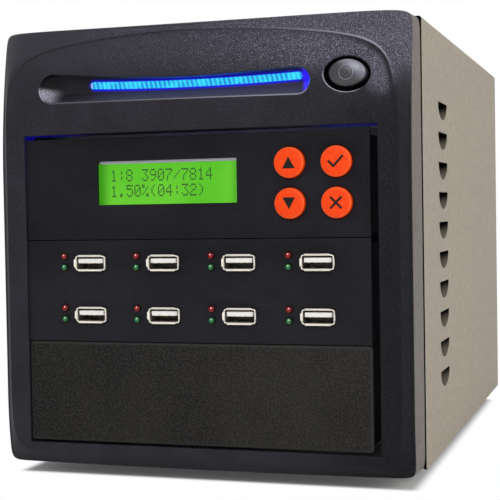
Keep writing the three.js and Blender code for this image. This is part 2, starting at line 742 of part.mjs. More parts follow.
// A domed oval cap on a round stem. It slides in the floor of its well and presses the switch.
function powerButton() {
  const capOval = (share) => oval(
    wellX, browLine, BUTTON_HALF_WIDTH * share, BUTTON_HALF_HEIGHT * share, WELL_SEGMENTS,
  );
  const domeRings = Array.from({ length: BUTTON_DOME_STEPS }, (_, i) => {
    const angle = (i / BUTTON_DOME_STEPS) * Math.PI / 2;
    return atDepth(capOval(Math.cos(angle)), BUTTON_DOME * (1 - Math.sin(angle)) - BUTTON_FRONT);
  });
  const cap = loft([atDepth(capOval(1), BUTTON_SKIRT), ...domeRings]);
  const stem = rod(
    wellX, browLine, BUTTON_SKIRT - BUTTON_DOME, buttonStemEnd, BUTTON_STEM_RADIUS, STEM_SEGMENTS,
  );
  addNode('power_button', cap.add(stem), 'button');
}

// A clear bar with fine upright ribs on its face, clamped behind the slot's floor by a flange.
function lightBar() {
  const face = slotFloor - BAR_PROUD;
  let bar = slab(barOutline(0), face, slotBack + BAR_BODY_DEPTH);
  bar = bar.add(
    slab(barOutline(BAR_FLANGE), slotBack + FIT_GAP, slotBack + FIT_GAP + BAR_FLANGE_THICKNESS),
  );
  const pitch = (BAR_LENGTH - 2 * BAR_HEIGHT) / BAR_RIB_COUNT;
  for (let i = 0; i < BAR_RIB_COUNT; i += 1) {
    const x = (i + 1 / 2 - BAR_RIB_COUNT / 2) * pitch;
    bar = bar.subtract(block(
      [x - pitch * RIB_GROOVE_SHARE / 2, face - CUT_OVERRUN, browLine - BAR_HEIGHT - BAR_SAG],
      [x + pitch * RIB_GROOVE_SHARE / 2, face + BAR_RIB_DEPTH, browLine + BAR_HEIGHT],
    ));
  }
  addNode('light_bar', bar, 'lightBar');
}

// The board behind the brow holds the power switch and the lamps of the light bar.
function switchBoard() {
  const left = frontBoardPegs[0] - FRONT_BOARD_MARGIN / 2;
  const right = wellX + FRONT_BOARD_MARGIN;
  const rear = FRONT_BOARD_Y + BOARD_THICKNESS;
  let board = block(
    [left, FRONT_BOARD_Y, browLine - FRONT_BOARD_HALF_HEIGHT],
    [right, rear, browLine + FRONT_BOARD_HALF_HEIGHT],
  );
  const plungerFront = buttonStemEnd + BUTTON_TRAVEL + STOP_GAP;
  const bodyFront = plungerFront + TACT_PLUNGER_HEIGHT;
  const half = SWITCH_BODY / 2;
  board = board.add(
    block([wellX - half, bodyFront, browLine - half], [wellX + half, rear, browLine + half]),
  );
  board = board.add(rod(wellX, browLine, plungerFront, rear, TACT_PLUNGER_RADIUS, PEG_SEGMENTS));
  for (let i = 0; i < LAMP_COUNT; i += 1) {
    const x = (i + 1 / 2 - LAMP_COUNT / 2) * BAR_LENGTH / LAMP_COUNT;
    board = board.add(rod(x, barLine(x), FRONT_BOARD_Y - 2 * LAMP_RADIUS, rear, LAMP_RADIUS, PEG_SEGMENTS));
  }
  addNode('switch_board', board, 'board');
}

// A bay panel seen from the front: a plate with an ear at each side that slides into the cage.
const panelFloor = (fromTop) => panelsBottom + (BAY_COUNT - 1 - fromTop) * panelPitch;
const panelMiddle = (fromTop) => panelFloor(fromTop) + PANEL_HEIGHT / 2;

function panelEars(fromTop, front, length) {
  const floor = panelFloor(fromTop) + PANEL_EAR_INSET;
  const ceiling = panelFloor(fromTop) + PANEL_HEIGHT - PANEL_EAR_INSET;
  return [-1, 1].map((side) => {
    const outer = panelX + side * (CAGE_INNER_WIDTH / 2 - FIT_GAP);
    const inner = outer - side * PANEL_EAR_SHEET;
    return block([Math.min(outer, inner), front, floor], [Math.max(outer, inner), length, ceiling]);
  });
}

function panelPlate(fromTop) {
  const middle = panelMiddle(fromTop);
  let panel = slab(rectangle(panelX, middle, PANEL_WIDTH, PANEL_HEIGHT), 0, PANEL_SHEET);
  for (const ear of panelEars(fromTop, PANEL_SHEET / 2, PANEL_EAR_LENGTH)) panel = panel.add(ear);
  return panel;
}

function addPegs(solid, x, z, spreadX, spreadZ, rear) {
  let result = solid;
  for (const side of [-1, 1]) {
    for (const level of [-1, 1]) {
      result = result.add(
        rod(x + side * spreadX, z + level * spreadZ, PANEL_SHEET / 2, rear, BOARD_PEG_RADIUS, PEG_SEGMENTS),
      );
    }
  }
  return result;
}

// Control panel
const displayX = panelX - DISPLAY_CENTRE;
const displayZ = panelMiddle(0) + DISPLAY_ABOVE_MIDDLE;
const keysX = panelX + KEY_COLUMN_CENTRE;
const keysZ = panelMiddle(0) + KEY_ROWS_ABOVE_MIDDLE;
const lcdFront = PANEL_SHEET + FIT_GAP;
const lcdGlassFront = lcdFront + LCD_FRAME_SHEET + FIT_GAP;
const lcdGlassRear = lcdGlassFront + LCD_GLASS_THICKNESS;
const lcdBoardFront = lcdFront + LCD_FRAME_DEPTH + FIT_GAP;
const keyFlangeFront = PANEL_SHEET + FIT_GAP;
const keyStemEnd = keyFlangeFront + KEY_FLANGE_THICKNESS + KEY_STEM_LENGTH;
const tactPlungerFront = keyStemEnd + KEY_TRAVEL + STOP_GAP;
const tactBodyFront = tactPlungerFront + TACT_PLUNGER_HEIGHT;
const keyBoardFront = tactBodyFront + TACT_BODY_HEIGHT;
const keyBoardHalf = [KEY_COLUMN_PITCH, KEY_ROW_PITCH].map(
  (pitch) => pitch / 2 + KEY_RADIUS + KEY_BOARD_MARGIN,
);

const keys = [
  { name: 'key_up', side: -1, level: 1 },
  { name: 'key_enter', side: 1, level: 1 },
  { name: 'key_down', side: -1, level: -1 },
  { name: 'key_escape', side: 1, level: -1 },
].map(({ name, side, level }) => ({
  name,
  x: keysX + side * KEY_COLUMN_PITCH / 2,
  z: keysZ + level * KEY_ROW_PITCH / 2,
}));

function controlPanel() {
  let panel = panelPlate(0);
  panel = panel.subtract(
    slab(
      rectangle(displayX, displayZ, WINDOW_WIDTH, WINDOW_HEIGHT), -CUT_OVERRUN, PANEL_SHEET + CUT_OVERRUN,
    ),
  );
  for (const { x, z } of keys) {
    panel = panel.subtract(
      rod(x, z, -CUT_OVERRUN, PANEL_SHEET + CUT_OVERRUN, KEY_RADIUS + KEY_CLEARANCE, KEY_SEGMENTS),
    );
  }
  const lcdPegs = [LCD_BOARD_WIDTH, LCD_BOARD_HEIGHT].map((size) => size / 2 - BOARD_PEG_INSET);
  panel = addPegs(panel, displayX, displayZ, ...lcdPegs, lcdBoardFront - FIT_GAP);
  const keyPegs = keyBoardHalf.map((half) => half - BOARD_PEG_INSET);
  panel = addPegs(panel, keysX, keysZ, ...keyPegs, keyBoardFront - FIT_GAP);
  addNode('control_panel', panel, 'panel');
}

function display() {
  const rear = lcdFront + LCD_FRAME_DEPTH;
  const innerWidth = LCD_FRAME_WIDTH - 2 * LCD_FRAME_SHEET;
  const innerHeight = LCD_FRAME_HEIGHT - 2 * LCD_FRAME_SHEET;
  const viewWidth = LCD_FRAME_WIDTH - 2 * LCD_FRAME_LIP;
  const viewHeight = LCD_FRAME_HEIGHT - 2 * LCD_FRAME_LIP;
  const viewZ = displayZ - LCD_VIEW_DROP;
  const frame = slab(rectangle(displayX, displayZ, LCD_FRAME_WIDTH, LCD_FRAME_HEIGHT), lcdFront, rear)
    .subtract(
      slab(
        rectangle(displayX, displayZ, innerWidth, innerHeight),
        lcdFront + LCD_FRAME_SHEET,
        rear + CUT_OVERRUN,
      ),
    )
    .subtract(slab(rectangle(displayX, viewZ, viewWidth, viewHeight), lcdFront - CUT_OVERRUN, rear));
  addNode('lcd_frame', frame, 'lcdFrame');

  const glassWidth = innerWidth - 2 * FIT_GAP;
  const glassHeight = innerHeight - 2 * FIT_GAP;
  const glass = slab(
    rectangle(displayX, displayZ, glassWidth, glassHeight, LCD_FRAME_SHEET), lcdGlassFront, lcdGlassRear,
  );
  addNode('lcd_glass', glass, 'lcdGlass');

  const boardRear = lcdBoardFront + BOARD_THICKNESS;
  let board = slab(
    rectangle(displayX, displayZ, LCD_BOARD_WIDTH, LCD_BOARD_HEIGHT), lcdBoardFront, boardRear,
  );
  board = board.add(
    slab(rectangle(displayX, displayZ, glassWidth, glassHeight), lcdGlassRear + FIT_GAP, boardRear),
  );
  for (const side of [-1, 1]) {
    const x = displayX + side * LCD_BOARD_WIDTH / 4;
    const chipRear = boardRear + LCD_CHIP_HEIGHT;
    board = board.add(
      rod(x, displayZ, lcdBoardFront, chipRear, LCD_CHIP_TOP_RADIUS, STEM_SEGMENTS, LCD_CHIP_RADIUS),
    );
  }
  addNode('lcd_board', board, 'board');
}

// Round keys: a cap that stands out of the panel, a flange behind it and a stem over its switch.
function keyPad() {
  for (const { name, x, z } of keys) {
    const capRear = keyFlangeFront + KEY_FLANGE_THICKNESS;
    const crown = rod(
      x, z, -KEY_PROUD, KEY_EDGE - KEY_PROUD, KEY_RADIUS, KEY_SEGMENTS, KEY_RADIUS - KEY_EDGE,
    );
    const cap = rod(x, z, KEY_EDGE - KEY_PROUD, capRear, KEY_RADIUS, KEY_SEGMENTS);
    const flange = rod(x, z, keyFlangeFront, capRear, KEY_RADIUS + KEY_FLANGE, KEY_SEGMENTS);
    const stem = rod(x, z, keyFlangeFront, keyStemEnd, KEY_STEM_RADIUS, PEG_SEGMENTS);
    addNode(name, crown.add(cap).add(flange).add(stem), 'key');
  }
  const rear = keyBoardFront + BOARD_THICKNESS;
  let board = slab(rectangle(keysX, keysZ, keyBoardHalf[0] * 2, keyBoardHalf[1] * 2), keyBoardFront, rear);
  for (const { x, z } of keys) {
    board = board.add(slab(rectangle(x, z, TACT_BODY, TACT_BODY), tactBodyFront, rear));
    board = board.add(rod(x, z, tactPlungerFront, rear, TACT_PLUNGER_RADIUS, PEG_SEGMENTS));
  }
  addNode('key_board', board, 'board');
}

// Port panel
const portsX = panelX + PORT_COLUMN_CENTRE;
const portsZ = panelMiddle(1) + PORT_ROWS_ABOVE_MIDDLE;
const shellFront = -(SHELL_PROUD + SHELL_LIP_LENGTH);
const shellRear = shellFront + SHELL_LENGTH;
const portBoardFront = shellRear + FIT_GAP;

const ports = Array.from({ length: PORT_ROWS * PORT_COLUMNS }, (_, i) => ({
  number: i + 1,
  x: portsX + ((i % PORT_COLUMNS) - (PORT_COLUMNS - 1) / 2) * PORT_COLUMN_PITCH,
  z: portsZ - (Math.floor(i / PORT_COLUMNS) - (PORT_ROWS - 1) / 2) * PORT_ROW_PITCH,
}));
const lampX = (port) => port.x - LAMP_FROM_PORT;
const lampZ = (port, level) => port.z + LAMP_PAIR_RISE + level * LAMP_PITCH / 2;
const shellWidth = SHELL_INNER_WIDTH + 2 * SHELL_WALL;
const shellHeight = SHELL_INNER_HEIGHT + 2 * SHELL_WALL;

function portPanel() {
  let panel = panelPlate(1);
  const through = [-CUT_OVERRUN, PANEL_SHEET + CUT_OVERRUN];
  for (const port of ports) {
    const hole = rectangle(port.x, port.z, shellWidth + 2 * FIT_GAP, shellHeight + 2 * FIT_GAP);
    panel = panel.subtract(slab(hole, ...through));
    for (const level of [-1, 1]) {
      panel = panel.subtract(
        rod(lampX(port), lampZ(port, level), ...through, LED_RADIUS + LED_CLEARANCE, LED_SEGMENTS),
      );
    }
  }
  panel = addPegs(panel, ...portBoardPegs(), portBoardFront - FIT_GAP);
  addNode('port_panel', panel, 'panel');
}

// The board behind the sockets, from the first lamp to the last socket with a margin.
function portBoardBox() {
  const left = lampX(ports[0]) - PORT_BOARD_MARGIN;
  const right = ports[PORT_COLUMNS - 1].x + shellWidth / 2 + PORT_BOARD_MARGIN;
  const half = (PORT_ROWS - 1) * PORT_ROW_PITCH / 2 + shellHeight / 2 + PORT_BOARD_MARGIN;
  return { left, right, half };
}

function portBoardPegs() {
  const { left, right, half } = portBoardBox();
  return [(left + right) / 2, portsZ, (right - left) / 2 - BOARD_PEG_INSET, half - BOARD_PEG_INSET];
}

function portBoard() {
  const { left, right, half } = portBoardBox();
  const rear = portBoardFront + BOARD_THICKNESS;
  let board = block([left, portBoardFront, portsZ - half], [right, rear, portsZ + half]);
  const hub = rectangle((left + right) / 2, portsZ, HUB_CHIP, HUB_CHIP);
  board = board.add(slab(hub, portBoardFront, rear + LCD_CHIP_HEIGHT));
  addNode('port_board', board, 'board');
}

// A socket's shell is a folded tube whose four front edges flare out as separate lips.
function shellLips(port) {
  const lips = [];
  for (const sign of [-1, 1]) {
    for (const upright of [false, true]) {
      const reach = (upright ? shellHeight : shellWidth) / 2;
      const span = (upright ? shellWidth : shellHeight) / 2 - SHELL_LIP_SETBACK;
      const section = [[-span, 0], [span, 0], [span, SHELL_WALL], [-span, SHELL_WALL]];
      const ring = (y, offset) => section.map(([along, out]) => {
        const across = sign * (reach - SHELL_WALL + offset + out);
        return upright ? [port.x + along, y, port.z + across] : [port.x + across, y, port.z + along];
      });
      lips.push(loft([ring(shellFront, SHELL_LIP_FLARE), ring(shellFront + SHELL_LIP_LENGTH, 0)]));
    }
  }
  return lips;
}

function sockets() {
  for (const port of ports) {
    const tubeFront = shellFront + SHELL_LIP_LENGTH;
    const outer = rectangle(port.x, port.z, shellWidth, shellHeight, SHELL_CORNER);
    const inner = rectangle(
      port.x, port.z, SHELL_INNER_WIDTH, SHELL_INNER_HEIGHT, SHELL_CORNER - SHELL_WALL,
    );
    let shell = slab(outer, tubeFront - SHELL_WALL, shellRear).subtract(
      slab(inner, shellFront, shellRear + CUT_OVERRUN),
    );
    for (const lip of shellLips(port)) shell = shell.add(lip);
    addNode(`usb_shell_${port.number}`, shell, 'shell');

    const tongueZ = port.z + SHELL_INNER_HEIGHT / 2 - TONGUE_FROM_TOP - TONGUE_THICKNESS / 2;
    const blade = slab(
      rectangle(port.x, tongueZ, TONGUE_WIDTH, TONGUE_THICKNESS), shellFront + TONGUE_SETBACK, shellRear,
    );
    const base = rectangle(
      port.x, port.z, SHELL_INNER_WIDTH - 2 * FIT_GAP, SHELL_INNER_HEIGHT - 2 * FIT_GAP,
    );
    addNode(
      `usb_tongue_${port.number}`, blade.add(slab(base, shellRear - TONGUE_BASE, shellRear)), 'tongue',
    );
  }
}

// A lamp's lens has a domed tip and a flange behind the panel, and stands on a spacer on the board.
function portLamps() {
  for (const port of ports) {
    for (const [colour, level] of [['red', 1], ['green', -1]]) {
      const [x, z] = [lampX(port), lampZ(port, level)];
      const flangeFront = PANEL_SHEET + FIT_GAP;
      const flangeRear = flangeFront + LED_FLANGE_THICKNESS;
      const ring = (y, radius) => atDepth(oval(x, z, radius, radius, LED_SEGMENTS), y);
      const lamp = loft([
        ring(-LED_PROUD, LED_RADIUS * LED_TIP_SHARE),
        ring(LED_DOME_SHARE * LED_RADIUS - LED_PROUD, LED_RADIUS * LED_SHOULDER_SHARE),
        ring(LED_RADIUS - LED_PROUD, LED_RADIUS),
        ring(flangeFront, LED_RADIUS),
        ring(flangeFront, LED_RADIUS + LED_FLANGE),
        ring(flangeRear, LED_RADIUS + LED_FLANGE),
        ring(portBoardFront - FIT_GAP, LED_RADIUS),
      ]);
      addNode(`led_${colour}_${port.number}`, lamp, `${colour}Lamp`);
    }
  }
}

// The moulded blank of the lowest bay has eased edges and springy arms with barbs.
function bayBlank() {
  const middle = panelMiddle(BAY_COUNT - 1);
  const face = (inset) => rectangle(
    panelX, middle, PANEL_WIDTH - 2 * inset, PANEL_HEIGHT - 2 * inset, BLANK_EDGE,
  );
  let blank = loft([
    atDepth(face(BLANK_EDGE), 0),
    atDepth(face(0), BLANK_EDGE),
    atDepth(face(0), BLANK_THICKNESS),
  ]);
  for (const ear of panelEars(BAY_COUNT - 1, BLANK_THICKNESS / 2, PANEL_EAR_LENGTH)) blank = blank.add(ear);
  const ribs = [-1, 0, 1].map((place) => place * PANEL_WIDTH / 4);
  for (const x of ribs) {
    const [left, right] = [panelX + x - PANEL_EAR_SHEET / 2, panelX + x + PANEL_EAR_SHEET / 2];
    const half = PANEL_HEIGHT / 2 - PANEL_EAR_INSET;
    blank = blank.add(
      block([left, BLANK_THICKNESS / 2, middle - half], [right, BLANK_THICKNESS * 2, middle + half]),
    );
  }
  addNode('bay_blank', blank, 'blank');
}

// The chassis: floor, front plate, drive cage and rear panel of bent sheet, joined by side rails.
function drivecage() {
  const floor = chassisFloorTop - SHEET / 2;
  const ceiling = panelsTop + CAGE_HEADROOM;
  const rear = coverFront + CAGE_DEPTH;
  const walls = [-1, 1].map((side) => {
    const inner = panelX + side * CAGE_INNER_WIDTH / 2;
    const outer = inner + side * SHEET;
    let wall = block(
      [Math.min(inner, outer), coverFront, floor], [Math.max(inner, outer), rear, ceiling + SHEET],
    );
    for (const share of CAGE_WINDOW_SHARES) {
      const y = coverFront + CAGE_DEPTH * share;
      const half = [CAGE_WINDOW_LENGTH / 2, CAGE_WINDOW_HEIGHT / 2];
      const low = [Math.min(inner, outer) - CUT_OVERRUN, y - half[0], caseMiddle - half[1]];
      const high = [Math.max(inner, outer) + CUT_OVERRUN, y + half[0], caseMiddle + half[1]];
      wall = wall.subtract(block(low, high));
    }
    return wall;
  });
  const reach = CAGE_INNER_WIDTH / 2 + SHEET;
  const roof = block([panelX - reach, coverFront, ceiling], [panelX + reach, rear, ceiling + SHEET]);
  return walls[0].add(walls[1]).add(roof);
}

const footPlaces = [-1, 1].flatMap((side) => [coverFront + FOOT_INSET, coverRear - FOOT_INSET].map((y) => ({
  x: side * (halfWidth - FOOT_INSET),
  y,
})));

const plateTop = caseTop - SHEET - FIT_GAP;
const rearPanelInner = rearPanelOuter - SHEET;
const psuRear = rearPanelInner - FIT_GAP;
const psuRight = chassisHalf - SHEET - PSU_SIDE_GAP;
const psuLeft = psuRight - PSU_WIDTH;
const psuTop = plateTop - PSU_BELOW_TOP;
const psuBottom = psuTop - PSU_HEIGHT;
const psuMiddle = (psuTop + psuBottom) / 2;
const controllerRear = rearPanelInner - CONTROLLER_REAR_GAP;
const controllerFloor = chassisFloorTop + CONTROLLER_STANDOFF;

function controllerPegs() {
  const spread = CONTROLLER_WIDTH / 2 - BOARD_PEG_INSET * 2;
  const front = controllerRear - CONTROLLER_LENGTH;
  const ends = [front + BOARD_PEG_INSET * 2, controllerRear - BOARD_PEG_INSET * 2];
  return [-1, 1].flatMap((side) => ends.map((y) => [side * spread, y]));
}

function rearPanel() {
  let panel = block([-chassisHalf, rearPanelInner, caseBottom], [chassisHalf, rearPanelOuter, plateTop]);
  const low = [psuLeft + PSU_REAR_RIM, rearPanelInner - CUT_OVERRUN, psuBottom + PSU_REAR_RIM];
  const high = [psuRight - PSU_REAR_RIM, rearPanelOuter + CUT_OVERRUN, psuTop - PSU_REAR_RIM];
  panel = panel.subtract(block(low, high));
  for (let row = 0; row < REAR_VENT_ROWS; row += 1) {
    for (let column = 0; column < REAR_VENT_COLUMNS; column += 1) {
      const x = (column - (REAR_VENT_COLUMNS - 1) / 2) * REAR_VENT_PITCH;
      const z = caseBottom + REAR_VENT_RISE + row * REAR_VENT_ROW_PITCH;
      const hole = rectangle(x, z, REAR_VENT_WIDTH, REAR_VENT_HEIGHT, REAR_VENT_WIDTH / 3);
      panel = panel.subtract(slab(hole, rearPanelInner - CUT_OVERRUN, rearPanelOuter + CUT_OVERRUN));
    }
  }
  return panel;
}

function chassis() {
  const pegHole = FOOT_PEG_RADIUS + FIT_GAP;
  const hookDepth = SNAP_HOOK_THICKNESS + SNAP_HOOK_BARB;
  let frame = block([-chassisHalf, coverFront, caseBottom], [chassisHalf, rearPanelOuter, chassisFloorTop]);
  let plate = block([-chassisHalf, coverFront, caseBottom], [chassisHalf, coverFront + SHEET, plateTop]);
  const reach = CAGE_INNER_WIDTH / 2;
  plate = plate.subtract(block(
    [panelX - reach, coverFront - CUT_OVERRUN, openingBottom],
    [panelX + reach, coverFront + CUT_OVERRUN, panelsTop + CAGE_HEADROOM],
  ));
  for (const place of hookPlaces()) {
    plate = plate.subtract(
      hookBox(place, hookDepth, coverFront - CUT_OVERRUN, coverFront + CUT_OVERRUN, FIT_GAP),
    );
  }
  frame = frame.add(plate).add(drivecage()).add(rearPanel());
  for (const side of [-1, 1]) {
    const [outer, inner] = [side * chassisHalf, side * (chassisHalf - SHEET)];
    const [left, right] = [Math.min(outer, inner), Math.max(outer, inner)];
    frame = frame.add(
      block([left, coverFront, caseBottom], [right, rearPanelOuter, caseBottom + CHASSIS_SIDE_FLANGE]),
    );
    frame = frame.add(
      block([left, coverFront, plateTop - TOP_RAIL_HEIGHT], [right, rearPanelOuter, plateTop]),
    );
  }
  for (const { x, y } of footPlaces) {
    frame = frame.subtract(
      post(x, y, caseBottom - CUT_OVERRUN, chassisFloorTop + CUT_OVERRUN, pegHole, STEM_SEGMENTS),
    );
  }
  for (const [x, y] of controllerPegs()) {
    frame = frame.add(
      post(x, y, caseBottom + SHEET / 2, controllerFloor - FIT_GAP, BOARD_PEG_RADIUS * 2, PEG_SEGMENTS),
    );
  }
  addNode('chassis', frame, 'steel');
}

function feet() {
  const names = ['foot_front_left', 'foot_rear_left', 'foot_front_right', 'foot_rear_right'];
  footPlaces.forEach(({ x, y }, i) => {
    const pad = post(x, y, 0, caseBottom - FIT_GAP, FOOT_RADIUS, KEY_SEGMENTS, FOOT_RADIUS - FOOT_TAPER);
    const peg = post(x, y, FOOT_HEIGHT / 2, chassisFloorTop + FIT_GAP, FOOT_PEG_RADIUS, STEM_SEGMENTS);
    addNode(names[i], pad.add(peg), 'rubber');
  });
}

// The cover is one folded sheet: roof and two sides, with a flange turned in at the rear.
function coverProfile(inset, radius) {
  const [right, top] = [halfWidth - inset, caseTop - inset];
  const bend = Array.from({ length: COVER_BEND_STEPS + 1 }, (_, i) => {
    const angle = (i / COVER_BEND_STEPS) * Math.PI / 2;
    return [right - radius + radius * Math.cos(angle), top - radius + radius * Math.sin(angle)];
  });
  const half = [[right, caseBottom], ...bend];
  return [...half, ...half.map(([x, z]) => [-x, z]).reverse()];
}

function foldedSheet(inset, innerRadius, front, rear) {
  const outer = coverProfile(0, COVER_BEND_RADIUS);
  const inner = coverProfile(inset, innerRadius);
  return slab([...outer, ...inner.reverse()], front, rear);
}

// A louvre is lanced along its flat top edge and pressed in: a quarter of an egg, open at the top.
function louvreShape(side, y, top, grow) {
  const geometry = new THREE.SphereGeometry(1, LOUVRE_ROUND_STEPS, LOUVRE_DEPTH_STEPS);
  geometry.rotateX(Math.PI / 2);
  geometry.scale(LOUVRE_DEPTH + grow, LOUVRE_WIDTH / 2 + grow, LOUVRE_HEIGHT + grow);
  geometry.translate(side * halfWidth, y, top);
  const far = LOUVRE_WIDTH + LOUVRE_DEPTH;
  const inward = side * (halfWidth - far);
  const low = [Math.min(inward, side * (halfWidth + far)), y - far, top - far];
  const high = [Math.max(inward, side * (halfWidth + far)), y + far, top];
  return toSolid(geometry).intersect(block(low, high));
}

function cover() {
  let shell = foldedSheet(SHEET, COVER_BEND_RADIUS - SHEET, coverFront, coverRear);
  shell = shell.add(foldedSheet(COVER_REAR_FLANGE, COVER_BEND_RADIUS, coverRear - SHEET, coverRear));
  const louvreY = seamFront + SEAM_GAP + LOUVRE_FROM_SEAM + LOUVRE_WIDTH / 2;
  for (const side of [-1, 1]) {
    for (let i = 0; i < LOUVRE_COUNT; i += 1) {
      const top = caseTop - LOUVRE_BELOW_TOP - i * LOUVRE_PITCH;
      const far = LOUVRE_WIDTH + LOUVRE_DEPTH;
      const skin = side * (halfWidth - SHEET / 2);
      const behind = side * (halfWidth - far);
      const low = [Math.min(skin, behind), louvreY - far, top - far];
      const high = [Math.max(skin, behind), louvreY + far, top];
      shell = shell.add(louvreShape(side, louvreY, top, SHEET).intersect(block(low, high)));
      shell = shell.subtract(louvreShape(side, louvreY, top, 0));
    }
  }
  addNode('cover', shell, 'cover');
}

// Power supply: a sheet box with a stamped ring grille for its fan and a hole for the inlet module.
const fanX = psuLeft + REAR_COLUMN_EDGE + FAN_SIZE / 2;
const moduleX = fanX + FAN_SIZE / 2 + REAR_COLUMN_GAP + MODULE_WIDTH / 2;
const fanRear = psuRear - SHEET - FIT_GAP;
const fanFront = fanRear - FAN_DEPTH;

function grilleSlots() {
  const slots = [];
  const step = (FAN_BORE_RADIUS - GRILLE_HUB_RADIUS) / GRILLE_RINGS;
  for (let ring = 0; ring < GRILLE_RINGS; ring += 1) {
    const inner = GRILLE_HUB_RADIUS + ring * step;
    const outer = inner + step - GRILLE_WEB;
    for (let quarter = 0; quarter < FAN_STRUTS; quarter += 1) {
      const arc = (radius) => Array.from({ length: GRILLE_STEPS + 1 }, (_, i) => {
        const trim = Math.asin(GRILLE_SPOKE / 2 / radius);
        const span = Math.PI * 2 / FAN_STRUTS - 2 * trim;
        const angle = quarter * Math.PI * 2 / FAN_STRUTS + trim + span * i / GRILLE_STEPS;
        return [fanX + radius * Math.cos(angle), psuMiddle + radius * Math.sin(angle)];
      });
      slots.push(
        slab(
          [...arc(outer), ...arc(inner).reverse()], psuRear - SHEET - CUT_OVERRUN, psuRear + CUT_OVERRUN,
        ),
      );
    }
  }
  return slots;
}

function psuCase() {
  const front = psuRear - PSU_LENGTH;
  let box = block([psuLeft, front, psuBottom], [psuRight, psuRear, psuTop]).subtract(block(
    [psuLeft + SHEET, front + SHEET, psuBottom + SHEET],
    [psuRight - SHEET, psuRear - SHEET, psuTop - SHEET],
  ));
  for (const slot of grilleSlots()) box = box.subtract(slot);
  const hole = rectangle(
    moduleX, psuMiddle, MODULE_BODY_WIDTH + 2 * FIT_GAP, MODULE_BODY_HEIGHT + 2 * FIT_GAP,
  );
  box = box.subtract(slab(hole, psuRear - SHEET - CUT_OVERRUN, psuRear + CUT_OVERRUN));
  addNode('psu_case', box, 'steel');
}

// The fan's square frame has a round bore, and struts at its inner end that hold the hub and its pin.
function fanFrame() {
  const half = FAN_SIZE / 2;
  let frame = slab(rectangle(fanX, psuMiddle, FAN_SIZE, FAN_SIZE, FAN_EDGE), fanFront, fanRear)
    .subtract(
      rod(
        fanX, psuMiddle, fanFront - CUT_OVERRUN, fanRear + CUT_OVERRUN, FAN_BORE_RADIUS, FAN_ROUND_SEGMENTS,
      ),
    );
  const strutRear = fanFront + FAN_STRUT_THICKNESS;
  const strut = block(
    [fanX - half + FAN_EDGE / 2, fanFront, psuMiddle - FAN_STRUT_WIDTH / 2],
    [fanX + half - FAN_EDGE / 2, strutRear, psuMiddle + FAN_STRUT_WIDTH / 2],
  );
  const cross = block(
    [fanX - FAN_STRUT_WIDTH / 2, fanFront, psuMiddle - half + FAN_EDGE / 2],
    [fanX + FAN_STRUT_WIDTH / 2, strutRear, psuMiddle + half - FAN_EDGE / 2],
  );
  frame = frame.add(strut).add(cross);
  frame = frame.add(rod(fanX, psuMiddle, fanFront, strutRear, FAN_HUB_RADIUS, FAN_ROUND_SEGMENTS));
  frame = frame.add(
    rod(fanX, psuMiddle, fanFront, strutRear + FAN_PIN_LENGTH, FAN_PIN_RADIUS, STEM_SEGMENTS),
  );
  addNode('fan_frame', frame, 'fan');
}

// A blade is lofted outwards from inside the hub and widens towards its tip.
function fanBlade(start, middle) {
  const tip = FAN_BORE_RADIUS - FAN_TIP_GAP;
  const root = FAN_HUB_RADIUS - FAN_BLADE_THICKNESS;
  const half = FAN_BLADE_DEPTH / 2;
  return loft(Array.from({ length: FAN_BLADE_STEPS + 1 }, (_, i) => {
    const share = i / FAN_BLADE_STEPS;
    const radius = root + (tip - root) * share;
    const sweep = FAN_BLADE_ROOT_SWEEP + (FAN_BLADE_TIP_SWEEP - FAN_BLADE_ROOT_SWEEP) * share;
    const corner = (depth, along) => {
      const angle = start + along / radius;
      return [fanX + radius * Math.cos(angle), middle + depth, psuMiddle + radius * Math.sin(angle)];
    };
    const [leading, trailing] = [FAN_BLADE_THICKNESS - sweep, FAN_BLADE_THICKNESS + sweep];
    return [corner(-half, -sweep), corner(half, sweep), corner(half, trailing), corner(-half, leading)];
  }));
}

// The rotor is a hub with a bore for the pin, and its blades.
function fanRotor() {
  const front = fanFront + FAN_STRUT_THICKNESS + FAN_TIP_GAP;
  const rear = fanRear - FAN_TIP_GAP;
  let rotor = rod(fanX, psuMiddle, front, rear, FAN_HUB_RADIUS, FAN_ROUND_SEGMENTS);
  const boreEnd = fanFront + FAN_STRUT_THICKNESS + FAN_PIN_LENGTH + FIT_GAP;
  const boreRadius = FAN_PIN_RADIUS + FAN_PIN_CLEARANCE;
  const bore = rod(fanX, psuMiddle, front - CUT_OVERRUN, boreEnd, boreRadius, STEM_SEGMENTS);
  rotor = rotor.subtract(bore);
  for (let blade = 0; blade < FAN_BLADES; blade += 1) {
    rotor = rotor.add(fanBlade((blade / FAN_BLADES) * 2 * Math.PI, (front + rear) / 2));
  }
  addNode('psu_fan', rotor, 'fan');
}

// Mains inlet and rocker switch in one moulded module.
const inletZ = psuMiddle - MODULE_HEIGHT / 2 + MODULE_INLET_RISE;
const rockerZ = psuMiddle + MODULE_HEIGHT / 2 - MODULE_ROCKER_DROP;
const moduleFace = psuRear + FIT_GAP + INLET_FLANGE;
const rockerPivotY = moduleFace - ROCKER_PIVOT_DEPTH;

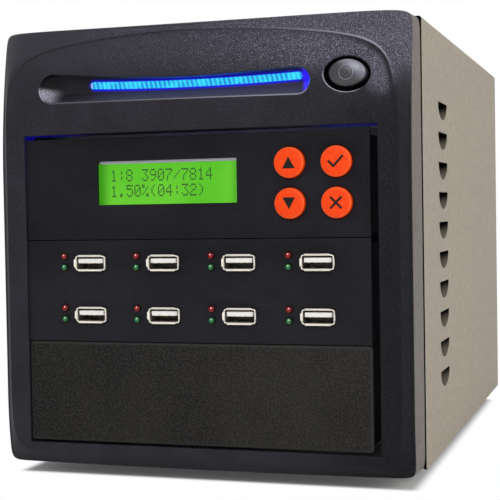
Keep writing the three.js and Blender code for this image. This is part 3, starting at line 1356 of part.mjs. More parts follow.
function inletModule() {
  const flangeFront = psuRear + FIT_GAP;
  let module = slab(
    rectangle(moduleX, psuMiddle, MODULE_WIDTH, MODULE_HEIGHT, MODULE_CORNER), flangeFront, moduleFace,
  );
  module = module.add(
    slab(
      rectangle(moduleX, psuMiddle, MODULE_BODY_WIDTH, MODULE_BODY_HEIGHT),
      psuRear - INLET_BODY_DEPTH,
      moduleFace,
    ),
  );
  const [w, h, c] = [INLET_RECESS_WIDTH / 2, INLET_RECESS_HEIGHT / 2, INLET_RECESS_CHAMFER];
  const recessCorners = [[-w, -h], [w, -h], [w, h - c], [w - c, h], [c - w, h], [-w, h - c]];
  const recess = recessCorners.map(([x, z]) => [moduleX + x, inletZ + z]);
  const recessFront = moduleFace - INLET_RECESS_DEPTH;
  module = module.subtract(slab(recess, recessFront, moduleFace + CUT_OVERRUN));
  for (const side of [-1, 0, 1]) {
    const rise = side === 0 ? INLET_PIN_RISE : -INLET_PIN_RISE;
    const across = moduleX + side * INLET_PIN_SPREAD;
    const pin = rectangle(across, inletZ + rise, INLET_PIN_WIDTH, INLET_PIN_HEIGHT);
    module = module.add(slab(pin, recessFront - INLET_PIN_WIDTH, recessFront + INLET_PIN_LENGTH));
  }
  const well = slab(
    rectangle(moduleX, rockerZ, ROCKER_WIDTH, ROCKER_HEIGHT),
    moduleFace - ROCKER_WELL_DEPTH,
    moduleFace + CUT_OVERRUN,
  );
  module = module.subtract(well);
  const pinHalf = ROCKER_WIDTH / 2 + ROCKER_PIN_LENGTH + FIT_GAP;
  const pinHole = crossPin(pinHalf, ROCKER_PIN_RADIUS + FIT_GAP);
  module = module.subtract(pinHole);
  for (const side of [-1, 1]) {
    const screw = rod(
      moduleX + side * MODULE_SCREW_SPREAD,
      psuMiddle,
      flangeFront - CUT_OVERRUN,
      moduleFace + CUT_OVERRUN,
      SCREW_RADIUS,
      PEG_SEGMENTS,
    );
    module = module.subtract(screw);
  }
  addNode('power_inlet', module, 'inlet');
}

function crossPin(half, radius) {
  const outline = oval(rockerPivotY, rockerZ, radius, radius, PEG_SEGMENTS);
  return sideSlab(outline, moduleX - half, moduleX + half);
}

// The rocker lies in its off position: one half stands out, the other is level with the module.
function rockerSwitch() {
  const throwAngle = THREE.MathUtils.degToRad(ROCKER_THROW_DEG);
  const proud = ROCKER_PIVOT_DEPTH + ROCKER_PROUD;
  const room = ROCKER_HEIGHT / 2 - ROCKER_CLEARANCE - proud * Math.sin(throwAngle);
  const reach = room / Math.cos(throwAngle);
  const profile = [[proud, -reach], [proud - ROCKER_DISH, 0], [proud, reach], [0, reach - ROCKER_PIN_RADIUS],
    [-ROCKER_BELLY, reach / 3], [-ROCKER_BELLY, -reach / 3], [0, ROCKER_PIN_RADIUS - reach]];
  const [cos, sin] = [Math.cos(throwAngle), Math.sin(throwAngle)];
  const turned = profile.map(([y, z]) => [rockerPivotY + y * cos - z * sin, rockerZ + y * sin + z * cos]);
  const half = ROCKER_WIDTH / 2 - ROCKER_CLEARANCE;
  const paddle = sideSlab(turned, moduleX - half, moduleX + half);
  addNode(
    'rocker_switch', paddle.add(crossPin(ROCKER_WIDTH / 2 + ROCKER_PIN_LENGTH, ROCKER_PIN_RADIUS)), 'inlet',
  );
}

// The controller: a board on standoffs with a finned heat sink and a row of headers.
function controllerBoard() {
  const front = controllerRear - CONTROLLER_LENGTH;
  const half = CONTROLLER_WIDTH / 2;
  const top = controllerFloor + BOARD_THICKNESS;
  let board = block([-half, front, controllerFloor], [half, controllerRear, top]);
  const y = (front + controllerRear) / 2;
  const sink = CONTROLLER_CHIP / 2;
  board = board.add(
    block([-sink, y - sink, controllerFloor], [sink, y + sink, top + CONTROLLER_SINK_BASE]),
  );
  for (let i = 0; i < CONTROLLER_SINK_FINS; i += 1) {
    const x = -sink + (CONTROLLER_CHIP - CONTROLLER_SINK_FIN) * i / (CONTROLLER_SINK_FINS - 1);
    board = board.add(
      block([x, y - sink, top], [x + CONTROLLER_SINK_FIN, y + sink, top + CONTROLLER_SINK_HEIGHT]),
    );
  }
  for (const side of [-1, 1]) {
    const x = side * (half - CONTROLLER_HEADER_WIDTH / 2 - BOARD_PEG_INSET * 3);
    const low = [x - CONTROLLER_HEADER_WIDTH / 2, front + BOARD_PEG_INSET, controllerFloor];
    const headerRear = front + BOARD_PEG_INSET + CONTROLLER_HEADER_DEPTH;
    const high = [x + CONTROLLER_HEADER_WIDTH / 2, headerRear, top + CONTROLLER_HEADER_HEIGHT];
    board = board.add(block(low, high));
  }
  addNode('controller_board', board, 'board');
}

frontBezel();
powerButton();
lightBar();
switchBoard();
controlPanel();
display();
keyPad();
portPanel();
portBoard();
sockets();
portLamps();
bayBlank();
chassis();
feet();
cover();
psuCase();
fanFrame();
fanRotor();
inletModule();
rockerSwitch();
controllerBoard();

// The part's frame has its origin under the middle of the whole object, on the floor.
const bounds = new THREE.Box3().setFromObject(object);
object.position.y = -(bounds.min.y + bounds.max.y) / 2;

export default object;
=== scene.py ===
# %% [markdown]
# # A desktop duplicator for USB memory sticks
# A steel case stands on four feet. A moulded bezel covers its front and frames three drive bays: a
# control panel with a display and four keys, a panel of eight sockets with lamps, and a blank. The
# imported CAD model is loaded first. It fixes every size, so the pieces below only refine its shapes
# and give them their finishes.

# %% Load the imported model
import math

import bpy
import bmesh
import numpy as np
from mathutils import Matrix, Vector


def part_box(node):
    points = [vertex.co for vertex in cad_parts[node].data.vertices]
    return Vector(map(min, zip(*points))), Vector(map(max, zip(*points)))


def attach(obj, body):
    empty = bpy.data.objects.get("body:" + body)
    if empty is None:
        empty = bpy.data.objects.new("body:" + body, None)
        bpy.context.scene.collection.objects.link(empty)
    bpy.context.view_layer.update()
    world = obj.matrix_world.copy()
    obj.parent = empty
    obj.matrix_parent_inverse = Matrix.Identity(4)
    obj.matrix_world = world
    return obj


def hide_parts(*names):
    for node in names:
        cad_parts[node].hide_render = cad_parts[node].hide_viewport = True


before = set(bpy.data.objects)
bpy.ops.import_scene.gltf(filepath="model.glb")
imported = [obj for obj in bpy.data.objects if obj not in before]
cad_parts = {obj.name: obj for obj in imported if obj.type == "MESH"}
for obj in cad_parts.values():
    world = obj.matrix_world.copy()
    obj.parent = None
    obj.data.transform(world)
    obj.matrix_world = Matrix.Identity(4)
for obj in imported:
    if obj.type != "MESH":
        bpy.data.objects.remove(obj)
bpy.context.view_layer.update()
MM = 0.001

# %% [markdown]
# ## Camera
# The photograph was taken from the right of the front and slightly above. Its lens and place were
# worked out from the corners of the bay panels, whose real width is known. A camera's own axes are
# right, up and backwards, so those three directions are the columns of its matrix.

# %% Place the camera
FOCAL_PIXELS = 1255.6
PICTURE_PIXELS = 500
SENSOR_MM = 36
IMAGE_CENTRE = (251.2, 249.9)
CAMERA_YAW, CAMERA_PITCH, CAMERA_ROLL = (math.radians(angle) for angle in (17.59, 1.75, 0.95))
CAMERA_PLACE = Vector((175.4, -613.2, 111.7)) * MM

forward = Vector((-math.sin(CAMERA_YAW) * math.cos(CAMERA_PITCH),
                  math.cos(CAMERA_YAW) * math.cos(CAMERA_PITCH), -math.sin(CAMERA_PITCH)))
level_right = Vector((math.cos(CAMERA_YAW), math.sin(CAMERA_YAW), 0))
level_down = forward.cross(level_right)
right = math.cos(CAMERA_ROLL) * level_right + math.sin(CAMERA_ROLL) * level_down
down = math.cos(CAMERA_ROLL) * level_down - math.sin(CAMERA_ROLL) * level_right
lens = bpy.data.cameras.new("photo_lens")
lens.sensor_width = SENSOR_MM
lens.lens = FOCAL_PIXELS / PICTURE_PIXELS * SENSOR_MM
lens.shift_x = (PICTURE_PIXELS / 2 - IMAGE_CENTRE[0]) / PICTURE_PIXELS
lens.shift_y = (IMAGE_CENTRE[1] - PICTURE_PIXELS / 2) / PICTURE_PIXELS
lens.clip_start = 0.01
camera = bpy.data.objects.new("photo_camera", lens)
turn = Matrix((right, -down, -forward)).transposed()
camera.matrix_world = Matrix.Translation(CAMERA_PLACE) @ turn.to_4x4()
bpy.context.scene.collection.objects.link(camera)
bpy.context.scene.camera = camera
print("focal length", round(lens.lens, 1), "mm")

# %% [markdown]
# ## Writing node trees as sums
# Node trees grow long when every node is made by hand. Here one method makes any node, and a small
# class wraps a node's output so that `1 - mask * 0.5` adds the Math nodes by itself. The same two
# classes serve materials and Geometry Nodes.


# %% The node helpers
def srgb(code):
    """A colour written as in a paint program, in the linear values that shaders use."""
    parts = [int(code[i:i + 2], 16) / 255 for i in (1, 3, 5)]
    return (*(p / 12.92 if p <= 0.04045 else ((p + 0.055) / 1.055) ** 2.4 for p in parts), 1)


def plain(value):
    """A value as a socket takes it. Text is the code of a colour, such as "#1a191e"."""
    return srgb(value) if isinstance(value, str) else value


class Wire:
    """An output of a node. Sums and products of wires add Math nodes."""

    def __init__(self, graph, socket):
        self.graph, self.socket = graph, socket

    def math(self, operation, *terms, **settings):
        inputs = dict(enumerate(terms))
        return self.graph.node("ShaderNodeMath", {"operation": operation, **settings}, inputs)

    def __add__(self, other):
        return self.math("ADD", self, other)

    def __sub__(self, other):
        return self.math("SUBTRACT", self, other)

    def __rsub__(self, other):
        return self.math("SUBTRACT", other, self)

    def __mul__(self, other):
        return self.math("MULTIPLY", self, other)

    def __truediv__(self, other):
        return self.math("DIVIDE", self, other)

    def __pow__(self, other):
        return self.math("POWER", self, other)

    def __abs__(self):
        return self.math("ABSOLUTE", self)

    def least(self, other):
        return self.math("MINIMUM", self, other)

    def most(self, other):
        return self.math("MAXIMUM", self, other)

    def sine(self):
        return self.math("SINE", self)

    def fraction(self):
        return self.math("FRACT", self)

    def clamped(self):
        return self.math("ADD", self, 0, use_clamp=True)

    __radd__ = __add__
    __rmul__ = __mul__

    def fade(self, start, end):
        """0 before start and 1 after end, with a smooth change between them."""
        return self.graph.node("ShaderNodeMapRange", {"interpolation_type": "SMOOTHSTEP"},
                               {"Value": self, "From Min": start, "From Max": end})

    def other(self, name):
        return Wire(self.graph, self.socket.node.outputs[name])


class Graph:
    """A node tree under construction."""

    def __init__(self, tree):
        self.tree = tree

    def node(self, kind, settings=None, inputs=None, output=0):
        node = self.tree.nodes.new(kind)
        for key, value in (settings or {}).items():
            setattr(node, key, value)
        for key, value in (inputs or {}).items():
            if isinstance(value, Wire):
                self.tree.links.new(value.socket, node.inputs[key])
            else:
                node.inputs[key].default_value = plain(value)
        return Wire(self, node.outputs[output]) if node.outputs else None


# %% [markdown]
# ## A base for every finish
# Every material starts from a Principled shader and from the point on the object, in millimetres, so
# that a grain's size is written as it would be measured. Noise gives colour variation and a height
# for the bump. What is the same all over a piece is set straight on the shader's socket.


# %% The finish class
class Finish(Graph):
    """A material under construction: its shader, and the point being shaded, in millimetres."""

    def __init__(self, name, **uniform):
        self.material = bpy.data.materials.new(name)
        self.material.use_nodes = True
        super().__init__(self.material.node_tree)
        self.shader = self.tree.nodes["Principled BSDF"]
        place = self.node("ShaderNodeTexCoord", output="Object")
        self.place = self.node("ShaderNodeVectorMath", {"operation": "SCALE"}, {0: place, "Scale": 1000})
        self.x = self.node("ShaderNodeSeparateXYZ", inputs={0: self.place})
        self.y, self.z = self.x.other("Y"), self.x.other("Z")
        self.set(**uniform)

    def set(self, **sockets):
        for name, value in sockets.items():
            socket = self.shader.inputs[name.replace("_", " ").title().replace("Ior", "IOR")]
            if isinstance(value, Wire):
                self.tree.links.new(value.socket, socket)
            else:
                socket.default_value = plain(value)
        return self

    def noise(self, grain, detail=2, stretch=(1, 1, 1)):
        """Noise whose blotches are about grain millimetres wide."""
        spot = self.node("ShaderNodeMapping", inputs={0: self.place, "Scale": stretch})
        return self.node("ShaderNodeTexNoise", inputs={"Vector": spot, "Scale": 1 / grain, "Detail": detail})

    def cells(self, size, output=0):
        """The distance to the nearest of scattered points, or with output 1 the colour of its cell."""
        inputs = {"Vector": self.place, "Scale": 1 / size}
        return self.node("ShaderNodeTexVoronoi", {"feature": "F1"}, inputs, output)

    def attribute(self, name):
        """A number that the mesh holds for each of its points."""
        return self.node("ShaderNodeAttribute", {"attribute_name": name}, output="Fac")

    def mix(self, mask, first, second):
        return self.node("ShaderNodeMix", {"data_type": "RGBA"}, {0: mask, 6: first, 7: second}, 2)

    def layered(self, colour, *layers):
        """The colour with others laid over it. Each layer is a mask and its colour."""
        for mask, over in layers:
            colour = self.mix(mask, colour, over)
        return colour

    def bump(self, height, depth):
        """Relief of depth millimetres."""
        return self.set(normal=self.node("ShaderNodeBump", inputs={
            "Height": height, "Distance": depth * MM, "Strength": 1}))


def mottled(name, blotches, dark, light, fade=None, relief=None, **uniform):
    """A material of two tones. Blotches are (grain, detail), and a relief is (grain, detail, depth)."""
    finish = Finish(name, **uniform)
    share = finish.noise(*blotches)
    if fade:
        share = share.fade(*fade)
    finish.set(base_color=finish.mix(share, dark, light))
    if relief:
        grain, detail, depth = relief
        finish.bump(finish.noise(grain, detail), depth)
    return finish.material


# %% [markdown]
# ## Making, cutting and replacing pieces
# A piece is given by points in millimetres and faces. Booleans cut openings, with cutters that are
# closed meshes too. A CAD node with a right but sharp shape is copied, its loose triangles are
# merged, and a small bevel gives its edges the highlight that real sheet and mouldings have.


# %% The piece helpers
def smooth(mesh, degrees):
    mesh.shade_smooth()
    mesh.set_sharp_from_angle(angle=math.radians(degrees))


def new_object(name, mesh, finish=None):
    if finish:
        mesh.materials.clear()
        mesh.materials.append(finish)
    obj = bpy.data.objects.new(name, mesh)
    bpy.context.scene.collection.objects.link(obj)
    return obj


def mesh_of(name, points, faces):
    """A mesh with its faces turned outwards. Points are in millimetres."""
    mesh = bpy.data.meshes.new(name)
    mesh.from_pydata([tuple(float(c) * MM for c in p) for p in points], [], [tuple(f) for f in faces])
    work = bmesh.new()
    work.from_mesh(mesh)
    bmesh.ops.recalc_face_normals(work, faces=work.faces)
    work.to_mesh(mesh)
    work.free()
    return mesh


def lofted(rings):
    """Points and faces of a skin over rings of equal length, closed at both ends."""
    count = len(rings[0])
    points = np.concatenate([np.asarray(ring, float) for ring in rings])
    last = (len(rings) - 1) * count
    faces = []
    for start in range(0, last, count):
        for i in range(count):
            after = (i + 1) % count
            faces.append((start + i, start + after, start + count + after, start + count + i))
    for ring, start in ((rings[0], 0), (rings[-1], last)):
        middle = len(points)
        points = np.vstack([points, np.mean(np.asarray(ring, float), axis=0)])
        faces += [(start + i, start + (i + 1) % count, middle) for i in range(count)]
    return points, faces


def turned(name, centre, profile, axis, segments=48):
    """A mesh turned on a lathe. The profile is a list of (distance along the axis, radius)."""
    along = Vector(axis).normalized()
    across = along.orthogonal().normalized()
    beside = along.cross(across)
    rings = [[Vector(centre) + along * d + (across * math.cos(t) + beside * math.sin(t)) * max(r, 1e-3)
              for t in (2 * math.pi * i / segments for i in range(segments))] for d, r in profile]
    return mesh_of(name, *lofted(rings))


# %% Booleans, copies of CAD nodes and soft edges
def baked(obj):
    """The object's mesh with its modifiers applied."""
    bpy.context.view_layer.update()
    evaluated = obj.evaluated_get(bpy.context.evaluated_depsgraph_get())
    mesh = bpy.data.meshes.new_from_object(evaluated)
    obj.modifiers.clear()
    return mesh


def combine(mesh, others, operation="DIFFERENCE"):
    """The mesh with the others cut out of it, or joined to it."""
    body = new_object("work_body", mesh)
    tools = [new_object("work_tool", other) for other in others]
    for tool in tools:
        step = body.modifiers.new("step", "BOOLEAN")
        step.operation, step.object, step.solver = operation, tool, "MANIFOLD"
    result = baked(body)
    for obj in (body, *tools):
        bpy.data.objects.remove(obj)
    return result


def joined(name, parts):
    """One mesh of several that stay apart from each other."""
    mesh = bpy.data.meshes.new(name)
    work = bmesh.new()
    for part in parts:
        work.from_mesh(part)
    work.to_mesh(mesh)
    work.free()
    return mesh


def merged_copy(node):
    """A copy of a CAD node's mesh, with its triangles merged into flat faces."""
    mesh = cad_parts[node].data.copy()
    mesh.materials.clear()
    work = bmesh.new()
    work.from_mesh(mesh)
    bmesh.ops.remove_doubles(work, verts=work.verts, dist=2e-6)
    bmesh.ops.dissolve_limit(work, angle_limit=math.radians(1), verts=work.verts, edges=work.edges)
    work.to_mesh(mesh)
    work.free()
    return mesh


def eased(mesh, width, steps=2, angle=28):
    """The mesh with its sharp edges rounded by width millimetres."""
    obj = new_object("work_eased", mesh)
    bevel = obj.modifiers.new("ease", "BEVEL")
    bevel.width, bevel.segments, bevel.limit_method = width * MM, steps, "ANGLE"
    bevel.angle_limit = math.radians(angle)
    bevel.use_clamp_overlap = True
    result = baked(obj)
    bpy.data.objects.remove(obj)
    return result


# %% Pieces that ride on a body
def finish_piece(name, mesh, finish, body="case", stands_for=(), sharp=35):
    """Makes the piece, lets it ride on its body and hides the CAD nodes that it stands for."""
    smooth(mesh, sharp)
    obj = new_object(name, mesh, finish)
    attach(obj, body)
    if stands_for:
        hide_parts(*stands_for)
    mesh.calc_loop_triangles()
    print(f"{name}: {len(mesh.loop_triangles)} triangles")
    return obj


def refine(name, node, width, finish, steps=2, body="case"):
    """Makes a piece of a CAD node's own shape, with its edges eased by width millimetres."""
    return finish_piece(name, eased(merged_copy(node), width, steps), finish, body, [node])


# %% [markdown]
# ## Repeats with Geometry Nodes
# Sockets, lamps, louvres, ribs, display dots, fan blades, feet and screws repeat. One tree copies a
# master mesh over a grid of points, another copies it to the vertices of a point mesh, and a third
# turns the copies round an axis. All end in Realize Instances and Set Material, because only real
# geometry is exported. What a tree makes is baked to a plain mesh.


# %% The three repeating trees
def repeat_tree(name, sizes, make_points, make_turn=None):
    """A tree that copies a master object to points, and turns the copies if make_turn says how."""
    tree = bpy.data.node_groups.new(name, "GeometryNodeTree")
    tree.interface.new_socket("Geometry", in_out="INPUT", socket_type="NodeSocketGeometry")
    tree.interface.new_socket("Geometry", in_out="OUTPUT", socket_type="NodeSocketGeometry")
    for label, kind in {**sizes, "Master": "Object", "Finish": "Material"}.items():
        tree.interface.new_socket(label, in_out="INPUT", socket_type="NodeSocket" + kind)
    graph = Graph(tree)
    given = graph.node("NodeGroupInput")
    source = {"Object": given.other("Master")}
    master = graph.node("GeometryNodeObjectInfo", inputs=source, output="Geometry")
    inputs = {0: make_points(graph, given), "Instance": master}
    if make_turn:
        inputs["Rotation"] = make_turn(graph, given)
    copies = graph.node("GeometryNodeInstanceOnPoints", inputs=inputs)
    solid = graph.node("GeometryNodeRealizeInstances", inputs={0: copies})
    dressed = graph.node("GeometryNodeSetMaterial", inputs={0: solid, "Material": given.other("Finish")})
    graph.node("NodeGroupOutput", inputs={0: dressed})
    return tree


def grid_points(graph, given):
    """Points in rows along the first step, stacked along the second."""
    row = graph.node("GeometryNodeMeshLine", inputs={
        "Count": given.other("Columns"), "Offset": given.other("Column step")})
    column = graph.node("GeometryNodeMeshLine", inputs={
        "Count": given.other("Rows"), "Offset": given.other("Row step")})
    grid = graph.node("GeometryNodeInstanceOnPoints", inputs={0: column, "Instance": row})
    return graph.node("GeometryNodeRealizeInstances", inputs={0: grid})


def axis_points(graph, given):
    """One point for each copy, all at the origin."""
    line = graph.node("GeometryNodeMeshLine", inputs={"Count": given.other("Copies"), "Offset": (0, 0, 0)})
    return graph.node("GeometryNodeMeshToPoints", inputs={0: line})


def axis_turn(graph, given):
    """An even share of a full turn round Y for each copy."""
    angle = graph.node("GeometryNodeInputIndex") * (2 * math.pi) / given.other("Copies")
    return graph.node("ShaderNodeCombineXYZ", inputs={"Y": angle})


grid_tree = repeat_tree("repeat on a grid", {
    "Columns": "Int", "Column step": "Vector", "Rows": "Int", "Row step": "Vector"}, grid_points)
point_tree = repeat_tree("repeat at points", {}, lambda graph, given: given)
axis_tree = repeat_tree("repeat round an axis", {"Copies": "Int"}, axis_points, axis_turn)


# %% Run the trees
def run_tree(tree, base, master, finish, sizes):
    """The mesh that a tree makes from a base mesh, a master mesh, a finish and the tree's own sizes."""
    source = new_object("work_master", master)
    obj = new_object("work_repeat", base)
    modifier = obj.modifiers.new("repeat", "NODES")
    modifier.node_group = tree
    sockets = {item.name: item.identifier for item in tree.interface.items_tree}
    for label, value in {**sizes, "Master": source, "Finish": finish}.items():
        modifier[sockets[label]] = value
    mesh = baked(obj)
    bpy.data.objects.remove(obj)
    bpy.data.objects.remove(source)
    return mesh


def on_grid(master, finish, columns, column_step, rows=1, row_step=(0, 0, 0)):
    """Copies the master mesh, which is at the grid's first place. Steps are in millimetres."""
    return run_tree(grid_tree, bpy.data.meshes.new("seed"), master, finish, {
        "Columns": columns, "Column step": [c * MM for c in column_step],
        "Rows": rows, "Row step": [c * MM for c in row_step]})


def at_points(master, finish, points):
    """Copies the master mesh, which is at the origin, to each point in millimetres."""
    seeds = bpy.data.meshes.new("seeds")
    seeds.from_pydata([tuple(c * MM for c in p) for p in points], [], [])
    return run_tree(point_tree, seeds, master, finish, {})


print("trees ready:", ", ".join(tree.name for tree in (grid_tree, point_tree, axis_tree)))

# %% [markdown]
# ## Sizes from the CAD nodes
# Each piece that refines a node must stay where that node is. So its main sizes are read from the
# nodes' boxes instead of being typed again. The front of the bay panels is the zero plane for depth,
# because the bezel, the panels and the sockets are all laid out from it.


# %% Read the main sizes
def corners(node):
    low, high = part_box(node)
    return low / MM, high / MM


def middle_of(node):
    """The (x, z) middle of a node's box."""
    low, high = corners(node)
    return (low.x + high.x) / 2, (low.z + high.z) / 2


bezel_low, bezel_high = corners("front_bezel")
panel_low, panel_high = corners("control_panel")
blank_low, blank_high = corners("bay_blank")
cover_low, cover_high = corners("cover")
FRONT = panel_low.y
HALF_WIDTH = bezel_high.x
CASE_BOTTOM, CASE_TOP = bezel_low.z, bezel_high.z
CASE_MIDDLE, HALF_HEIGHT = (CASE_BOTTOM + CASE_TOP) / 2, (CASE_TOP - CASE_BOTTOM) / 2
OPENING_HALF, OPENING_BOTTOM, OPENING_TOP = 75.7, blank_low.z - 0.9, panel_high.z + 1.8
BROW_HEIGHT = CASE_TOP - OPENING_TOP
BROW_LINE = OPENING_TOP + 0.42555 * BROW_HEIGHT
CREST_HALF = HALF_WIDTH - 6
SEAM = 24
WALL = 2.8
print(f"case {2 * HALF_WIDTH:.1f} mm wide, {CASE_TOP:.1f} mm high, brow line at {BROW_LINE:.1f} mm")

# %% [markdown]
# ## The bezel's front as a row of rings
# The real bezel is one moulding: rounded outer edges, a raised crest that arches over the brow, and
# a shield inside the crest that bows forward. All of that is a row of rings round the middle of the
# case. A ring is a squared-off oval, and one formula gives the depth of its points. Rings close
# together make the crest's crisp lip and its hollow cove, and rings further apart do for the rest.


# %% Ring outlines and depths
def ring_angles(steps=44):
    quarter = 1 - (1 - np.arange(steps) / steps) ** 2
    corner = math.atan2(HALF_HEIGHT, HALF_WIDTH)
    falling = (math.pi / 2 - (math.pi / 2 - corner) * quarter)[::-1]
    first = np.concatenate([corner * quarter, [corner], falling])
    upper = np.concatenate([first, math.pi - first[-2::-1]])
    return np.concatenate([upper, -upper[-2:0:-1]])


ANGLES = ring_angles()
SIDE_DRAFT, ROOF_DRAFT = 0.7, 1.8
CORNER_RADIUS = 4
EDGE_POWER = math.log(2) / -math.log(1 - (1 - math.sqrt(0.5)) * CORNER_RADIUS / HALF_WIDTH)
# The bezel's top leans forward over its highest 61 mm, and its foot falls back over its lowest 30.
RISING, SINKING = 61, 30


def across_share(x):
    return np.clip(np.abs(x) / HALF_WIDTH, 0, 1)


def rise_share(z):
    """0 below the heights over which the bezel's top leans, and 1 at the case's top."""
    return np.clip((z - (CASE_TOP - RISING)) / RISING, 0, 1)


def squared_oval(side, up, down_, power_up, power_down):
    cosine, sine = np.cos(ANGLES), np.sin(ANGLES)
    reach = np.where(sine >= 0, up, down_)
    power = np.where(sine >= 0, power_up, power_down)
    radius = (np.abs(cosine / side) ** power + np.abs(sine / reach) ** power) ** (-1 / power)
    return np.stack([radius * cosine, CASE_MIDDLE + radius * sine])


def edge_ring(inset, draft=0.0):
    """The outer edge. The draft is 0 at the seam and 1 at the front, whose sides and roof come in."""
    reach = HALF_HEIGHT - inset
    x, z = squared_oval(HALF_WIDTH - inset - SIDE_DRAFT * draft, reach, reach, EDGE_POWER, EDGE_POWER)
    return np.stack([x, z - ROOF_DRAFT * draft * rise_share(z) ** 2 * (1 - across_share(x) ** 2)])


CREST_TOP, CREST_POWER, CREST_ARCH = HALF_HEIGHT - 4.6, 11, 0.082
CREST_LOW, LOW_POWER = HALF_HEIGHT - 6.3, 14
COVE, CREST_STEP = 2.6, 1.86
COLLAR_WALL = 1.8


def arched(outline, side, arch):
    """The outline with its upper half bent down towards the sides."""
    x, z = outline
    bent = CASE_MIDDLE + (z - CASE_MIDDLE) * (1 - arch * (x / side) ** 2)
    return np.stack([x, np.where(z > CASE_MIDDLE, bent, z)])


def crest_ring(shrink):
    side = CREST_HALF - shrink
    outline = squared_oval(side, CREST_TOP - shrink, CREST_LOW - shrink, CREST_POWER, LOW_POWER)
    return arched(outline, side, CREST_ARCH)


def shield_ring(share):
    """A ring between the cove's foot, at share 0, and the opening's collar, at share 1."""
    side, up, low = CREST_HALF - COVE, CREST_TOP - COVE, CREST_LOW - COVE
    side = side + (OPENING_HALF - COLLAR_WALL - side) * share
    up = up + (OPENING_TOP - COLLAR_WALL - CASE_MIDDLE - up) * share
    low = low + (CASE_MIDDLE - OPENING_BOTTOM - COLLAR_WALL - low) * share
    outline = squared_oval(side, up, low, CREST_POWER + (LOW_POWER - CREST_POWER) * share, LOW_POWER)
    return arched(outline, side, CREST_ARCH * (1 - share))


# %% The depth of the rings
EDGE_BEHIND, SHOULDER_FALL, FOOT_FALL, ROOF_LEAN = 2.5, 8, 2.5, 11.2


def edge_depth(x, z):
    """The outer edge falls back at its upper and lower corners and leans forward over the middle."""
    across, rise = across_share(x), rise_share(z)
    sink = np.clip((CASE_BOTTOM + SINKING - z) / SINKING, 0, 1)
    falls = SHOULDER_FALL * rise ** 2 * across ** 12 + FOOT_FALL * sink ** 2 * across ** 2
    return EDGE_BEHIND + falls - ROOF_LEAN * rise ** 2 * (1 - across ** 2)


def brow_share(z):
    return np.clip((z - OPENING_TOP) / BROW_HEIGHT, 0, 1)


LOW_BOW, BROW_BOW, BROW_FALL, BROW_START = 2.5, 9.42, 3.75, 0.9


def brow_depth(x, z):
    """The surface inside the crest bows forward in the middle, and more so the higher it is."""
    share = brow_share(z)
    bow = LOW_BOW * np.clip(1 - (OPENING_TOP - z) / BROW_HEIGHT, 0, 1) + BROW_BOW * share
    return BROW_FALL * share ** 2 - BROW_START - bow * (1 - np.clip(np.abs(x) / CREST_HALF, 0, 1) ** 2)


def shield_depth(x, z):
    return brow_depth(x, z) + CREST_STEP * brow_share(z)


def placed(outline, depth):
    """The ring's points. The depth is a number or one value for each point."""
    x, z = outline
    return np.stack([x, FRONT + depth + 0 * x, z], axis=1)


print(len(ANGLES), "points a ring")

# %% [markdown]
# ## Openings with rounded lips
# A moulding's openings have rounded lips, and those lips catch the light along the slot and round the
# button. A bevel after the Boolean would be clamped by the short edges there. So the cutter carries
# the lip: its wall stops one radius short of the surface and then flares out in a quarter circle
# that follows the surface's own depth.


# %% Cutters that leave a rounded lip
def wall_through(levels):
    """Gives the wall's outline at any depth, in straight lines between the (depth, outline) levels."""
    def wall(depth):
        outline = levels[0][1] + 0 * depth
        for (from_depth, start), (to_depth, end) in zip(levels, levels[1:]):
            outline = outline + (end - start) * np.clip((depth - from_depth) / (to_depth - from_depth), 0, 1)
        return outline
    return wall


CUTTER_RINGS, LIP_RINGS, CUTTER_FRONT = 9, 6, -20


def lipped_cutter(name, wall, outward, floor, radius):
    """outward holds a unit vector for each point of the outline. The floor is a depth behind the panels."""
    x, z = wall(np.full(outward.shape[1], float(floor)))
    for _ in range(4):
        level = shield_depth(x, z)
        x, z = wall(level)
    rings = []
    for share in np.linspace(0, 1, CUTTER_RINGS) ** 1.5:
        depth = floor + (level + radius - floor) * share
        rings.append(placed(wall(depth), depth))
    for angle in np.radians(np.linspace(12, 78, LIP_RINGS)):
        sunk = radius * (1 - math.sin(angle))
        lip = wall(level + sunk) + outward * radius * (1 - math.cos(angle))
        rings.append(placed(lip, shield_depth(*lip) + sunk))
    clear = lip + outward * radius * 3
    rings.append(placed(clear, shield_depth(*clear) - radius))
    rings.append(placed(clear, CUTTER_FRONT))
    return mesh_of(name, *lofted(rings))


def outward_of(outline):
    """Unit vectors square to a closed outline that runs anticlockwise."""
    along = np.roll(outline, -1, axis=1) - np.roll(outline, 1, axis=1)
    square = np.stack([along[1], -along[0]])
    return square / np.linalg.norm(square, axis=0)


# %% The outlines of the openings
SLOT_LEFT, SLOT_RIGHT = HALF_WIDTH - 21.3, HALF_WIDTH - 39.2
SLOT_FLOOR, SLOT_WALL = 1.5, 1.8
SLOT_ENDS = ((5.2, -1.1), (5.95, 0.3))
SLOT_DIP, SLOT_SLOPE, RIGHT_RAMP, LEFT_RAMP = 2.6, 4, 3.5, 9


